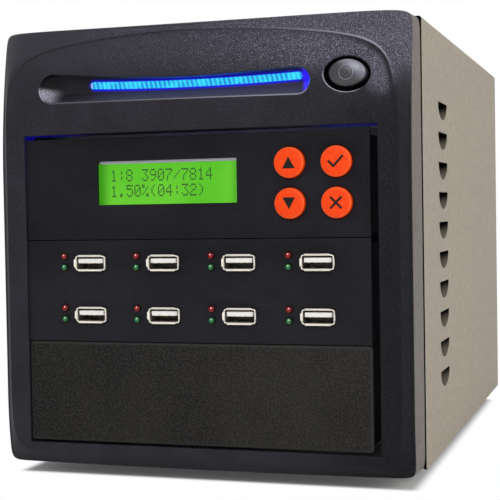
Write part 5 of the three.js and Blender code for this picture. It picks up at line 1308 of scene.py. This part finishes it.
def blank_mesh():
    """The blank. A step and two fins behind its upper edge close the gap to the next panel."""
    ports_low, start = corners("port_panel")[0].z, BLANK_THICK - 0.2
    step = slab_box("step", (blank_low.x + 0.3, start, blank_high.z - STEP_LAP),
                    (blank_high.x - 0.1, BLANK_THICK + STEP_THICK, ports_low + STEP_LAP))
    fins = [slab_box("fin", (x, start, blank_high.z - FIN_LAP),
                     (x + FIN_THICK, SEAM - 0.5, ports_low + FIN_LAP))
            for x in (blank_low.x + 0.15, blank_high.x - 0.65)]
    return combine(eased(merged_copy("bay_blank"), 0.35), [step, *fins], "UNION")


steel = steel_finish()
panels = panel_finish()
refine("control_plate", "control_panel", 0.3, panels)
refine("port_plate", "port_panel", 0.3, panels)
refine("chassis_sheet", "chassis", 0.2, steel)
refine("psu_box", "psu_case", 0.2, steel)
finish_piece("blank_plate", blank_mesh(), blank_finish(), stands_for=["bay_blank"])

board = board_finish()
for node in ("switch_board", "lcd_board", "key_board", "port_board", "controller_board"):
    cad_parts[node].material_slots[0].material = board

# %% [markdown]
# ## Display
# A liquid crystal display shows dark dots on a lit yellow-green ground, behind glass in a folded
# metal frame. Each character is a grid of 5 by 7 dots. The lit dots' places come from a small table
# of digit patterns, and the point tree puts one tiny plate at each. The text is only numbers: ports,
# a count and a share done. Unlit dots show as a faint grid in the ground.

# %% The dots of the display
PATTERNS = {
    "0": "01110 10001 10011 10101 11001 10001 01110", "1": "00100 01100 00100 00100 00100 00100 01110",
    "2": "01110 10001 00001 00110 01000 10000 11111", "3": "11111 00010 00100 00010 00001 10001 01110",
    "4": "00010 00110 01010 10010 11111 00010 00010", "5": "11111 10000 11110 00001 00001 10001 01110",
    "6": "00110 01000 10000 11110 10001 10001 01110", "7": "11111 00001 00010 00100 01000 01000 01000",
    "8": "01110 10001 10001 01110 10001 10001 01110", "9": "01110 10001 10001 01111 00001 00010 01100",
    ":": "00000 00100 00100 00000 00100 00100 00000", "/": "00000 00001 00010 00100 01000 10000 00000",
    ".": "00000 00000 00000 00000 00000 01100 01100", "%": "11000 11001 00010 00100 01000 10011 00011",
    "(": "00010 00100 01000 01000 01000 00100 00010", ")": "01000 00100 00010 00010 00010 00100 01000",
}
LINES = ("1:8 3907/7814", "1.50%(04:32)")
glass_low, glass_high = corners("lcd_glass")
CELL, DOT_X, DOT_Z = 3.5, 0.583, 0.72
TEXT_LEFT, TEXT_TOPS = -38.2, (130.0, 123.6)


def lit_dots():
    """The places of the lit dots, line by line and sign by sign."""
    places = []
    for line, top in zip(LINES, TEXT_TOPS):
        for column, sign in enumerate(line):
            left = TEXT_LEFT + column * CELL
            for row, dots in enumerate(PATTERNS.get(sign, "").split()):
                z = top - (row + 0.5) * DOT_Z
                places += [(left + (i + 0.5) * DOT_X, glass_low.y, z)
                           for i, dot in enumerate(dots) if dot == "1"]
    return places


def lcd_finish():
    finish = Finish("lit_green_glass", roughness=0.15, specular_ior_level=0.2, emission_strength=0.9)
    broad = finish.noise(30, 1)
    green = finish.mix(broad.fade(0.35, 0.65), "#58c61c", "#6ad22c")
    right_end = finish.x.fade(glass_high.x - 9, glass_high.x - 3)
    inside = finish.x.fade(glass_low.x + 4, glass_low.x + 10) * (1 - right_end)
    green = finish.mix(inside, "#3f9a18", green)
    ripple = (finish.x * (2 * math.pi / DOT_X)).sine() * (finish.z * (2 * math.pi / DOT_Z)).sine()
    green = finish.mix(ripple * 0.06 + 0.06, green, "#2f8a10")
    return finish.set(base_color="#1c3c10", emission_color=green).material


def lcd_frame_finish():
    finish = Finish("brushed_display_frame", metallic=0.85)
    brushed = finish.noise(0.5, 3, stretch=(0.05, 1, 1))
    metal = finish.mix(brushed, "#8f949c", "#c9ccd2")
    return finish.set(base_color=metal, roughness=0.28 + brushed * 0.2).material


DOT_HALF_X, DOT_HALF_Z = 0.25, 0.31
dot_corners = [(x * DOT_HALF_X, z * DOT_HALF_Z) for x, z in ((-1, -1), (1, -1), (1, 1), (-1, 1))]
dot = mesh_of("dot", *lofted([[(x, y, z) for x, z in dot_corners] for y in (-0.05, 0.02)]))
dot_green = mottled("dark_green_dots", (4, 2), "#0e3a06", "#1c5409", roughness=0.5)
finish_piece("lcd_dots", at_points(dot, dot_green, lit_dots()), None)
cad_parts["lcd_glass"].material_slots[0].material = lcd_finish()
refine("lcd_surround", "lcd_frame", 0.25, lcd_frame_finish())
print(len(lit_dots()), "lit dots")

# %% [markdown]
# ## Keys
# Four orange keys stand out of the panel. They are turned on a lathe from one profile, with a
# rounded rim that catches light, and a lighter orange on that rim is a painted highlight. The dark
# signs are masks in the finish: each is a few straight strokes or a triangle, measured from the
# key's own centre, so the edges stay crisp at any size.

# %% Turn the keys and draw their signs
KEY_PROFILE = [(0.0, 0.0), (0.02, 2.5), (0.0, 4.9), (0.06, 5.35), (0.2, 5.72), (0.45, 5.98), (0.75, 6.12),
               (1.1, 6.15), (4.9, 6.15), (4.9, 7.15), (5.8, 7.15), (5.8, 1.9), (8.0, 1.9), (8.0, 0.0)]


def stroke(u, w, start, end, half):
    """A mask of one straight stroke with round ends."""
    run, rise = end[0] - start[0], end[1] - start[1]
    share = (((u - start[0]) * run + (w - start[1]) * rise) / (run * run + rise * rise)).clamped()
    across, up = u - start[0] - share * run, w - start[1] - share * rise
    return 1 - ((across * across + up * up) ** 0.5).fade(half - 0.08, half + 0.08)


def triangle(u, w, half, height):
    inside = ((height / 2 - w) * (half / height) - abs(u)).least(w + height / 2)
    return inside.fade(-0.06, 0.06)


TRIANGLE, STROKE_HALF = (2.6, 4.7), 0.48


def two_strokes(u, w, first, second):
    return stroke(u, w, *first, STROKE_HALF).most(stroke(u, w, *second, STROKE_HALF))


TICK = (((-2.7, 0.0), (-0.8, -1.9)), ((-0.8, -1.9), (2.8, 2.0)))
CROSS = (((-2.0, -2.0), (2.0, 2.0)), ((-2.0, 2.0), (2.0, -2.0)))
SIGNS = {
    "key_up": lambda u, w: triangle(u, w, *TRIANGLE),
    "key_down": lambda u, w: triangle(u, w * -1, *TRIANGLE),
    "key_enter": lambda u, w: two_strokes(u, w, *TICK),
    "key_escape": lambda u, w: two_strokes(u, w, *CROSS),
}


def key_finish(node, centre):
    finish = Finish("orange_" + node, roughness=0.45, specular_ior_level=0.2)
    grain = finish.noise(0.9, 3)
    orange = finish.mix(grain.fade(0.35, 0.7), "#fa4000", "#ff4f0a")
    u, w = finish.x - centre[0], finish.z - centre[1]
    # Painted highlight: a lighter orange on the rounded rim.
    rim = ((u * u + w * w) ** 0.5).fade(5.3, 5.9) * (1 - (finish.y - FRONT).fade(-2.3, -1.7))
    orange = finish.mix(rim * 0.3, orange, "#ff8a50")
    return finish.set(base_color=finish.mix(SIGNS[node](u, w), orange, "#16120f")).material


for node in SIGNS:
    centre = middle_of(node)
    cap = turned(node, (centre[0], corners(node)[0].y, centre[1]), KEY_PROFILE, (0, 1, 0), 56)
    finish_piece(node + "_cap", cap, key_finish(node, centre), node, [node])

# %% [markdown]
# ## Sockets and lamps
# Eight sockets stand in two rows of four. A socket is a folded tube whose front edges flare out as
# four separate lips with cut corners. Inside are a white tongue with four gold contacts under it and
# two springs pressed up from the floor. One of each part is made at the first socket's place, and
# the grid tree repeats it. The lamps are small domes beside the sockets, red above green.

# %% Make one socket
shell_low = corners("usb_shell_1")[0]
PORT = middle_of("usb_shell_1")
COLUMN_STEP = (corners("usb_shell_2")[0].x - shell_low.x, 0, 0)
ROW_STEP = (0, 0, corners("usb_shell_5")[0].z - shell_low.z)
SHELL_HALF, SHELL_WALL = (6.65, 2.96), 0.4
LIP_TURN, LIP_BEND, LIP_START, LIP_GAP, LIP_TAPER, LIP_ROOT = math.radians(53), 1.5, -1, 0.75, 0.9, 0.25


def socket_lip(sign, upright):
    """A flared lip above or below the mouth, or beside it. Its first ring is sunk into the tube."""
    span, reach = SHELL_HALF if upright else SHELL_HALF[::-1]
    rings = []
    for turn in np.linspace(0, LIP_TURN, 8):
        out, y = LIP_BEND * (1 - math.cos(turn)), LIP_START - LIP_BEND * math.sin(turn)
        half = span - LIP_GAP - LIP_TAPER * (turn / LIP_TURN) ** 1.2
        root = LIP_ROOT if turn == 0 else 0
        ring = []
        for along, thick in ((-half, 0), (half, 0), (half, 1), (-half, 1)):
            across = sign * (reach - SHELL_WALL + out + thick * SHELL_WALL * math.cos(turn))
            back = y + thick * SHELL_WALL * math.sin(turn)
            u, w = (along, across) if upright else (across, along)
            ring.append((PORT[0] + u, FRONT + back + root, PORT[1] + w))
        rings.append(ring)
    return mesh_of("lip", *lofted(rings))


def centred_box(name, x, depths, z, half_x, half_z, radius=0.05):
    outline = rounded_rectangle((x - half_x, z - half_z), (x + half_x, z + half_z), radius, 3)
    return plate(name, outline, *depths)


SPRING_X, SPRING_FRONT, SPRING_LENGTH, SPRING_FLOOR, SPRING_RISE = 2.9, 1.2, 5.2, -2.75, 0.6


def socket_spring(side):
    """An arch pressed up from the floor, narrower at its top."""
    rings = []
    for turn in np.linspace(0, math.pi, 9):
        top = 0.1 + SPRING_RISE * math.sin(turn)
        rings.append([(PORT[0] + side * SPRING_X + x, FRONT + SPRING_FRONT + SPRING_LENGTH * turn / math.pi,
                       PORT[1] + SPRING_FLOOR + z) for x, z in ((-1, 0), (1, 0), (0.8, top), (-0.8, top))])
    return mesh_of("spring", *lofted(rings))


SOCKET_REAR = 11.8


def socket_shell():
    bore_half = [half - SHELL_WALL for half in SHELL_HALF]
    tube = centred_box("tube", PORT[0], (-1.2, SOCKET_REAR), PORT[1], *SHELL_HALF, 0.8)
    bore = centred_box("bore", PORT[0], (-3, SOCKET_REAR + 1.2), PORT[1], *bore_half, 0.5)
    lips = [socket_lip(sign, upright) for sign in (-1, 1) for upright in (False, True)]
    springs = [socket_spring(side) for side in (-1, 1)]
    return combine(combine(tube, [bore]), lips + springs, "UNION")


# %% The tongue, the contacts and the lamps
def tapered(name, spot, levels, radius, steps):
    """A bar along the depth. Each level is (depth, half width, half height)."""
    rings = []
    for depth, half, tall in levels:
        low, high = (spot[0] - half, spot[1] - tall), (spot[0] + half, spot[1] + tall)
        rings.append(placed(rounded_rectangle(low, high, radius, steps), depth))
    return mesh_of(name, *lofted(rings))


TONGUE_LIFT = 0.86
TONGUE_LEVELS = ((-0.9, 5.3, 0.7), (-0.75, 5.47, 0.87), (-0.5, 5.55, 0.95), (SOCKET_REAR, 5.55, 0.95))


def socket_tongue():
    tongue = tapered("tongue", (PORT[0], PORT[1] + TONGUE_LIFT), TONGUE_LEVELS, 0.2, 3)
    base = centred_box("base", PORT[0], (8.8, SOCKET_REAR), PORT[1], 5.95, 2.26, 0.3)
    return combine(tongue, [base], "UNION")


CONTACT_PLACES, CONTACT_HALF, CONTACT_THICK = (-3.5, -1, 1, 3.5), 0.5, 0.16
CONTACT_LEVELS = ((-0.2, -0.24), (0.8, -0.4), (2.4, -0.34), (8.6, -0.26))


def socket_contact(x):
    """A strip of gold that bows down near its front. Each level is (depth, lower face)."""
    rings = []
    for depth, level in CONTACT_LEVELS:
        low = (PORT[0] + x - CONTACT_HALF, PORT[1] + level)
        high = (PORT[0] + x + CONTACT_HALF, PORT[1] + level + CONTACT_THICK)
        rings.append(placed(rounded_rectangle(low, high, 0.03, 2), depth))
    return mesh_of("contact", *lofted(rings))


LAMP_RADIUS, LAMP_RIM = 1.5, 1.85


def lamp_dome(node):
    """A lamp turned from a dome, a collar and a straight rear. Attributes place painted light and shade."""
    low, high = corners(node)
    x, z = middle_of(node)
    centre = (x, low.y, z)
    turn = np.linspace(0, math.pi / 2, 12)
    profile = [(LAMP_RADIUS * (1 - math.cos(t)), LAMP_RADIUS * math.sin(t)) for t in turn]
    profile += [(3.8, LAMP_RADIUS), (3.8, LAMP_RIM), (4.7, LAMP_RIM), (4.7, LAMP_RADIUS)]
    profile += [(high.y - low.y, LAMP_RADIUS), (high.y - low.y, 0)]
    mesh = turned(node, centre, profile, (0, 1, 0), 36)
    points = points_of(mesh) - np.array(centre)
    mark(mesh, "rim", np.hypot(points[:, 0], points[:, 2]))
    mark(mesh, "spot", np.hypot(points[:, 0] - 0.15, points[:, 2] - 0.45))
    mark(mesh, "low", -points[:, 2])
    return mesh


print(f"socket {2 * SHELL_HALF[0]:.1f} by {2 * SHELL_HALF[1]:.1f} mm")


# %% Repeat the sockets and lamps
def nickel_finish():
    finish = Finish("nickel_shell", metallic=0.15)
    brushed, tint = finish.noise(0.35, 3, stretch=(0.15, 0.15, 1)), finish.noise(5, 2)
    cream = finish.mix(tint, "#f4ecdf", "#fffaf0")
    # Painted shade: the shell's faces behind its front turn dark brown.
    inner = (finish.y - FRONT).fade(-1.2, -0.2)
    finish.set(base_color=finish.mix(inner * 0.85, cream, "#2c211a"), roughness=0.3 + brushed * 0.15)
    return finish.bump(brushed, 0.01).material


def tongue_finish():
    finish = Finish("white_insulator", roughness=0.45)
    grain, depth = finish.noise(0.5, 2), finish.y - FRONT
    white = finish.mix(grain, "#ece9e2", "#fdfcf8")
    # Painted shade: the tongue darkens deeper into the socket.
    finish.set(base_color=finish.mix(depth.fade(0.5, 6) * 0.9, white, "#4b443c"))
    return finish.bump(grain, 0.02).material


def lamp_finish(name, deep, clear):
    finish = Finish(name, roughness=0.2, specular_ior_level=0.35)
    rim, spot, low = (finish.attribute(name) for name in ("rim", "spot", "low"))
    # Painted reflection: a faint light arc low on the dome.
    arc = (1 - abs(rim - 1.1).fade(0.05, 0.2)) * low.fade(0.6, 0.95)
    # Painted highlight: a small spot above the middle. Painted shade: a dark ring at the dome's edge.
    return finish.set(base_color=finish.layered(
        deep,
        (1 - rim.fade(0.3, 1.2) + finish.noise(0.5, 1) * 0.2, clear),
        (arc * 0.15, "#e8b8a8"),
        (1 - spot.fade(0.15, 0.35), "#ffe9e4"),
        (rim.fade(1.36, 1.48), "#060303"))).material


contacts = joined("contacts", [socket_contact(x) for x in CONTACT_PLACES])
gold = mottled("gold_contacts", (1.5, 2), "#c99a45", "#f0cf86", metallic=1, roughness=0.25)
red, green = lamp_finish("red_lens", "#4a0206", "#a0070f"), lamp_finish("green_lens", "#06301a", "#1f8a4c")
for name, master, finish, node, slot in (
        ("socket_shells", socket_shell(), nickel_finish(), "usb_shell_", "shell"),
        ("socket_tongues", socket_tongue(), tongue_finish(), "usb_tongue_", "tongue"),
        ("socket_contacts", contacts, gold, None, "shell"),
        ("lamps_red", lamp_dome("led_red_1"), red, "led_red_", "red_lamp"),
        ("lamps_green", lamp_dome("led_green_1"), green, "led_green_", "green_lamp")):
    mesh = on_grid(master, finish, 4, COLUMN_STEP, 2, ROW_STEP)
    nodes = [f"{node}{i}" for i in range(1, 9)] if node else []
    finish_piece(name, mesh, None, stands_for=nodes, sharp=28)

# %% [markdown]
# ## Rear: fan, mains inlet, rocker and screws
# The photograph shows only the front and one side, so the rear follows common practice: a power
# supply with a fan behind a stamped grille, a mains inlet and a rocker. The fan's blades come from a
# tree that turns one blade round the hub. The rocker carries a bar and a ring, the usual marks for
# on and off. Cross-head screws are one turned master at many points.


# %% The fan
def moved(mesh, offset):
    mesh.transform(Matrix.Translation(Vector(offset) * MM))
    return mesh


fan_low, fan_high = corners("fan_frame")
FAN = middle_of("fan_frame")
rotor_low, rotor_high = corners("psu_fan")
BLADES, BLADE_TIP, BLADE_ROOT, BLADE_DEPTH, BLADE_THICK = 7, 27.5, 9.6, 5.5, 1.4
HUB_RADIUS, FAN_HALF, FAN_BORE, STRUT_REACH, STRUT_HALF, STRUT_DEPTH = 11.5, 30, 28.5, 28.7, 2, 2.4


def blade_mesh():
    """A blade as a row of bent sections, wider towards its tip."""
    rings = []
    for share in np.linspace(0, 1, 12):
        radius = BLADE_ROOT + (BLADE_TIP - BLADE_ROOT) * share
        sweep = 4.6 + 3 * share
        face = [(-BLADE_DEPTH + 2 * BLADE_DEPTH * t, -sweep + 2 * sweep * t) for t in np.linspace(0, 1, 6)]
        back = [(depth, along + BLADE_THICK) for depth, along in reversed(face)]
        rings.append([(radius * math.cos(along / radius), depth, -radius * math.sin(along / radius))
                      for depth, along in face + back])
    return mesh_of("blade", *lofted(rings))


def rotor_mesh(finish):
    seed = bpy.data.meshes.new("seed")
    blades = run_tree(axis_tree, seed, blade_mesh(), finish, {"Copies": BLADES})
    blades = moved(blades, (FAN[0], (rotor_low.y + rotor_high.y) / 2, FAN[1]))
    centre = (FAN[0], rotor_low.y, FAN[1])
    length = rotor_high.y - rotor_low.y
    profile = [(0, 0), (0, 10.9), (0.6, HUB_RADIUS), (length - 0.9, HUB_RADIUS), (length - 0.25, 11.2),
               (length, 10.5), (length, 0)]
    hub = turned("hub", centre, profile, (0, 1, 0), 56)
    bore = turned("bore", centre, [(-1, 2.1), (8.3, 2.1)], (0, 1, 0), 32)
    return combine(combine(hub, [blades], "UNION"), [bore])


def fan_frame_mesh():
    """The square frame, with a bore, a cross of struts, the motor's plate and its pin."""
    def disc(radius, low, high, segments=72):
        profile = [(low, radius), (high, radius)]
        return turned("disc", (FAN[0], fan_low.y, FAN[1]), profile, (0, 1, 0), segments)

    def block(half_x, half_z):
        return slab_box("strut", (FAN[0] - half_x, front, FAN[1] - half_z),
                        (FAN[0] + half_x, front + STRUT_DEPTH, FAN[1] + half_z))

    front, depth = fan_low.y - FRONT, fan_high.y - fan_low.y
    outline = rounded_rectangle([c - FAN_HALF for c in FAN], [c + FAN_HALF for c in FAN], 3)
    ring = combine(plate("square", outline, front, front + depth), [disc(FAN_BORE, -1, depth + 1)])
    struts = [block(STRUT_REACH, STRUT_HALF), block(STRUT_HALF, STRUT_REACH)]
    discs = [disc(HUB_RADIUS, 0, STRUT_DEPTH), disc(1.8, 0, 11.4, 24)]
    return eased(combine(ring, struts + discs, "UNION"), 0.2)


fan_black = mottled("black_fan_plastic", (0.8, 3), "#161618", "#26262a", (0.3, 0.7), (0.8, 3, 0.03),
                    roughness=0.45)
finish_piece("fan_housing", fan_frame_mesh(), fan_black, stands_for=["fan_frame"])
finish_piece("fan_blades", rotor_mesh(fan_black), fan_black, "fan_rotor", ["psu_fan"], sharp=40)


# %% The inlet and the rocker
inlet_high = corners("power_inlet")[1]
MODULE = middle_of("power_inlet")


def rocker_finish():
    finish = Finish("rocker_black", roughness=0.28, coat_weight=0.4)
    u, w = finish.x - MODULE[0], finish.z - middle_of("rocker_switch")[1]
    ring = ring_mask((u * u + (w - 2.9) * (w - 2.9)) ** 0.5, 1.35, 0.2)
    marks = ring.most(stroke(u, w, (0, -4.1), (0, -1.7), 0.2)) * (finish.y - inlet_high.y).fade(-1.2, -0.6)
    black = finish.mix(finish.noise(2, 3), "#0f0f11", "#1d1d20")
    return finish.set(base_color=finish.mix(marks, black, "#e8e8e4")).material


def screw_finish():
    finish = Finish("plated_screws", metallic=1)
    wear_and_highlight = finish.noise(0.8, 3)
    plated = finish.mix(wear_and_highlight, "#8d8f92", "#d5d6d8")
    return finish.set(base_color=plated, roughness=0.22 + wear_and_highlight * 0.2).material


PIN_FOOT = inlet_high.y - FRONT - 17
PIN_LEVELS = ((PIN_FOOT - 0.5, 1.05, 2.05), (PIN_FOOT + 13, 1.05, 2.05), (PIN_FOOT + 14.1, 0.6, 1.6))
PIN_PLACES = [(MODULE[0] + x, MODULE[1] - 10 + rise) for x, rise in ((-7, -2), (0, 2), (7, -2))]
pins = joined("pins", [tapered("pin", spot, PIN_LEVELS, 0.15, 2) for spot in PIN_PLACES])
brass = mottled("brass_pins", (1.2, 3), "#b08d3e", "#dcc07a", metallic=1, roughness=0.28)
black = mottled("moulded_black_plastic", (8, 2), "#131315", "#222226", relief=(0.5, 3, 0.03),
                roughness=0.4, coat_weight=0.1)
refine("inlet_housing", "power_inlet", 0.35, black)
finish_piece("inlet_pins", pins, brass)
refine("rocker_paddle", "rocker_switch", 0.4, rocker_finish(), 3, "rocker")

# %% The feet and the screws
FOOT_PROFILE = [(0, 0), (0, 6.3), (0.25, 6.95), (0.9, 7.5), (4.6, 8.75), (5.2, 8.95), (5.7, 8.7),
                (5.7, 2.5), (7.3, 2.5), (7.3, 0)]
foot_nodes = ["foot_front_left", "foot_rear_left", "foot_front_right", "foot_rear_right"]
foot_places = []
for node in foot_nodes:
    low, high = corners(node)
    foot_places.append(((low.x + high.x) / 2, (low.y + high.y) / 2, 0))
rubber = mottled("black_rubber", (6, 3), "#121212", "#2b2a28", (0.5, 0.8), (0.5, 3, 0.06), roughness=0.85)
feet = at_points(turned("foot", (0, 0, 0), FOOT_PROFILE, (0, 0, 1), 48), rubber, foot_places)
finish_piece("rubber_feet", feet, None, stands_for=foot_nodes)

SCREW_PROFILE = [(-1.2, 0), (-1.2, 1.4), (0, 1.4), (0, 2.6), (0.25, 2.75), (0.7, 2.6), (1.1, 2.0),
                 (1.35, 1.1), (1.4, 0)]
CROSS_REACH, CROSS_HALF = 1.5, 0.25
CROSS_SLOTS = ((CROSS_REACH, CROSS_HALF), (CROSS_HALF, CROSS_REACH))
FOLD_INSET, FOLD_HEIGHTS, FAN_HOLE, MODULE_HOLE = 3.7, (22, 97, 172), 25, 20
cross = [slab_box("slot", (-a, 0.75 - FRONT, -b), (a, 2 - FRONT, b)) for a, b in CROSS_SLOTS]
screw = combine(turned("screw", (0, 0, 0), SCREW_PROFILE, (0, 1, 0), 24), cross)
psu_low, psu_high = corners("psu_case")
chassis_rear = corners("chassis")[1].y
psu_x, psu_z = (psu_low.x + 3, psu_high.x - 3.2), (psu_low.z + 3, psu_high.z - 3)
sides = (-1, 1)
screw_places = [(side * (HALF_WIDTH - FOLD_INSET), cover_high.y, z) for side in sides for z in FOLD_HEIGHTS]
screw_places += [(FAN[0] + a * FAN_HOLE, psu_high.y, FAN[1] + b * FAN_HOLE) for a in sides for b in sides]
screw_places += [(x, chassis_rear, z) for x in psu_x for z in psu_z]
screw_places += [(MODULE[0] + side * MODULE_HOLE, inlet_high.y, MODULE[1]) for side in sides]
finish_piece("case_screws", at_points(screw, screw_finish(), screw_places), None, sharp=30)
print(len(screw_places), "screws")

# %% [markdown]
# ## Floor, light and finish
# The floor is plain and nearly white. To the camera its material is pure white, except under the
# case: there, up to an inset from the case's outline, it shows its own colour and the shadow on it.
# A pale world gives even light from everywhere. Three soft lamps shape the object: one from the
# right, where the photograph's side is bright, one from the front and one above. The picture's white
# ground is the world as the camera and shiny surfaces see it.


# %% Floor and world
# The shadow begins to fade this far inside the case's outline, and is gone SHADOW_EDGE further out.
SHADOW_INSET_X, SHADOW_INSET_Y, SHADOW_EDGE = 5, 15, 6


def floor_finish():
    finish = Finish("pale_floor", roughness=0.9, specular_ior_level=0.1)
    finish.set(base_color=finish.mix(finish.noise(60, 3), "#f7f7f6", "#fbfbfa"))
    beside = (abs(finish.x) - HALF_WIDTH + SHADOW_INSET_X).most(0)
    beyond = (abs(finish.y) + FRONT + SHADOW_INSET_Y).most(0)
    away = (beside * beside + beyond * beyond) ** 0.5
    white = finish.node("ShaderNodeEmission", inputs={"Color": (1, 1, 1, 1), "Strength": 1})
    seen = finish.node("ShaderNodeLightPath") * (0.05 + 0.95 * away.fade(0, SHADOW_EDGE))
    shaded_floor = Wire(finish, finish.shader.outputs[0])
    shown = finish.node("ShaderNodeMixShader", inputs={0: seen, 1: shaded_floor, 2: white})
    finish.tree.links.new(shown.socket, finish.tree.nodes["Material Output"].inputs["Surface"])
    return finish.material


floor_mesh = bpy.data.meshes.new("floor")
work = bmesh.new()
bmesh.ops.create_grid(work, x_segments=8, y_segments=8, size=6)
work.to_mesh(floor_mesh)
work.free()
new_object("floor", floor_mesh, floor_finish())

world = bpy.data.worlds.new("studio")
world.use_nodes = True
bpy.context.scene.world = world
sky = Graph(world.node_tree)
background = world.node_tree.nodes["Background"]
rays = sky.node("ShaderNodeLightPath")
seen = rays.most(rays.other("Is Glossy Ray") * 0.5).most(rays.other("Is Transmission Ray"))
soft = sky.node("ShaderNodeBackground", inputs={"Color": (0.93, 0.95, 1, 1), "Strength": 0.5})
white = sky.node("ShaderNodeBackground", inputs={"Color": (1, 1, 1, 1), "Strength": 1})
mixed = sky.node("ShaderNodeMixShader", inputs={0: seen, 1: soft, 2: white})
world.node_tree.links.new(mixed.socket, world.node_tree.nodes["World Output"].inputs["Surface"])
world.node_tree.nodes.remove(background)


# %% Lamps
LAMP_AIM = (0, 0, 0.09)


def soft_lamp(name, place, size, watts, colour=(1, 1, 1)):
    light = bpy.data.lights.new(name, "AREA")
    light.shape, light.size, light.energy, light.color = "DISK", size, watts, colour
    lamp = bpy.data.objects.new(name, light)
    lamp.location = place
    lamp.rotation_euler = (Vector(LAMP_AIM) - Vector(place)).to_track_quat("-Z", "Y").to_euler()
    bpy.context.scene.collection.objects.link(lamp)


soft_lamp("side_lamp", (1.5, -0.5, 0.8), 0.9, 9, colour=(1, 0.97, 0.92))
soft_lamp("front_lamp", (0.25, -1.7, 1.0), 1.0, 9)
soft_lamp("top_lamp", (-0.4, -0.2, 1.8), 1.2, 6)

# %% Show colours as written
bpy.context.scene.view_settings.view_transform = "Standard"
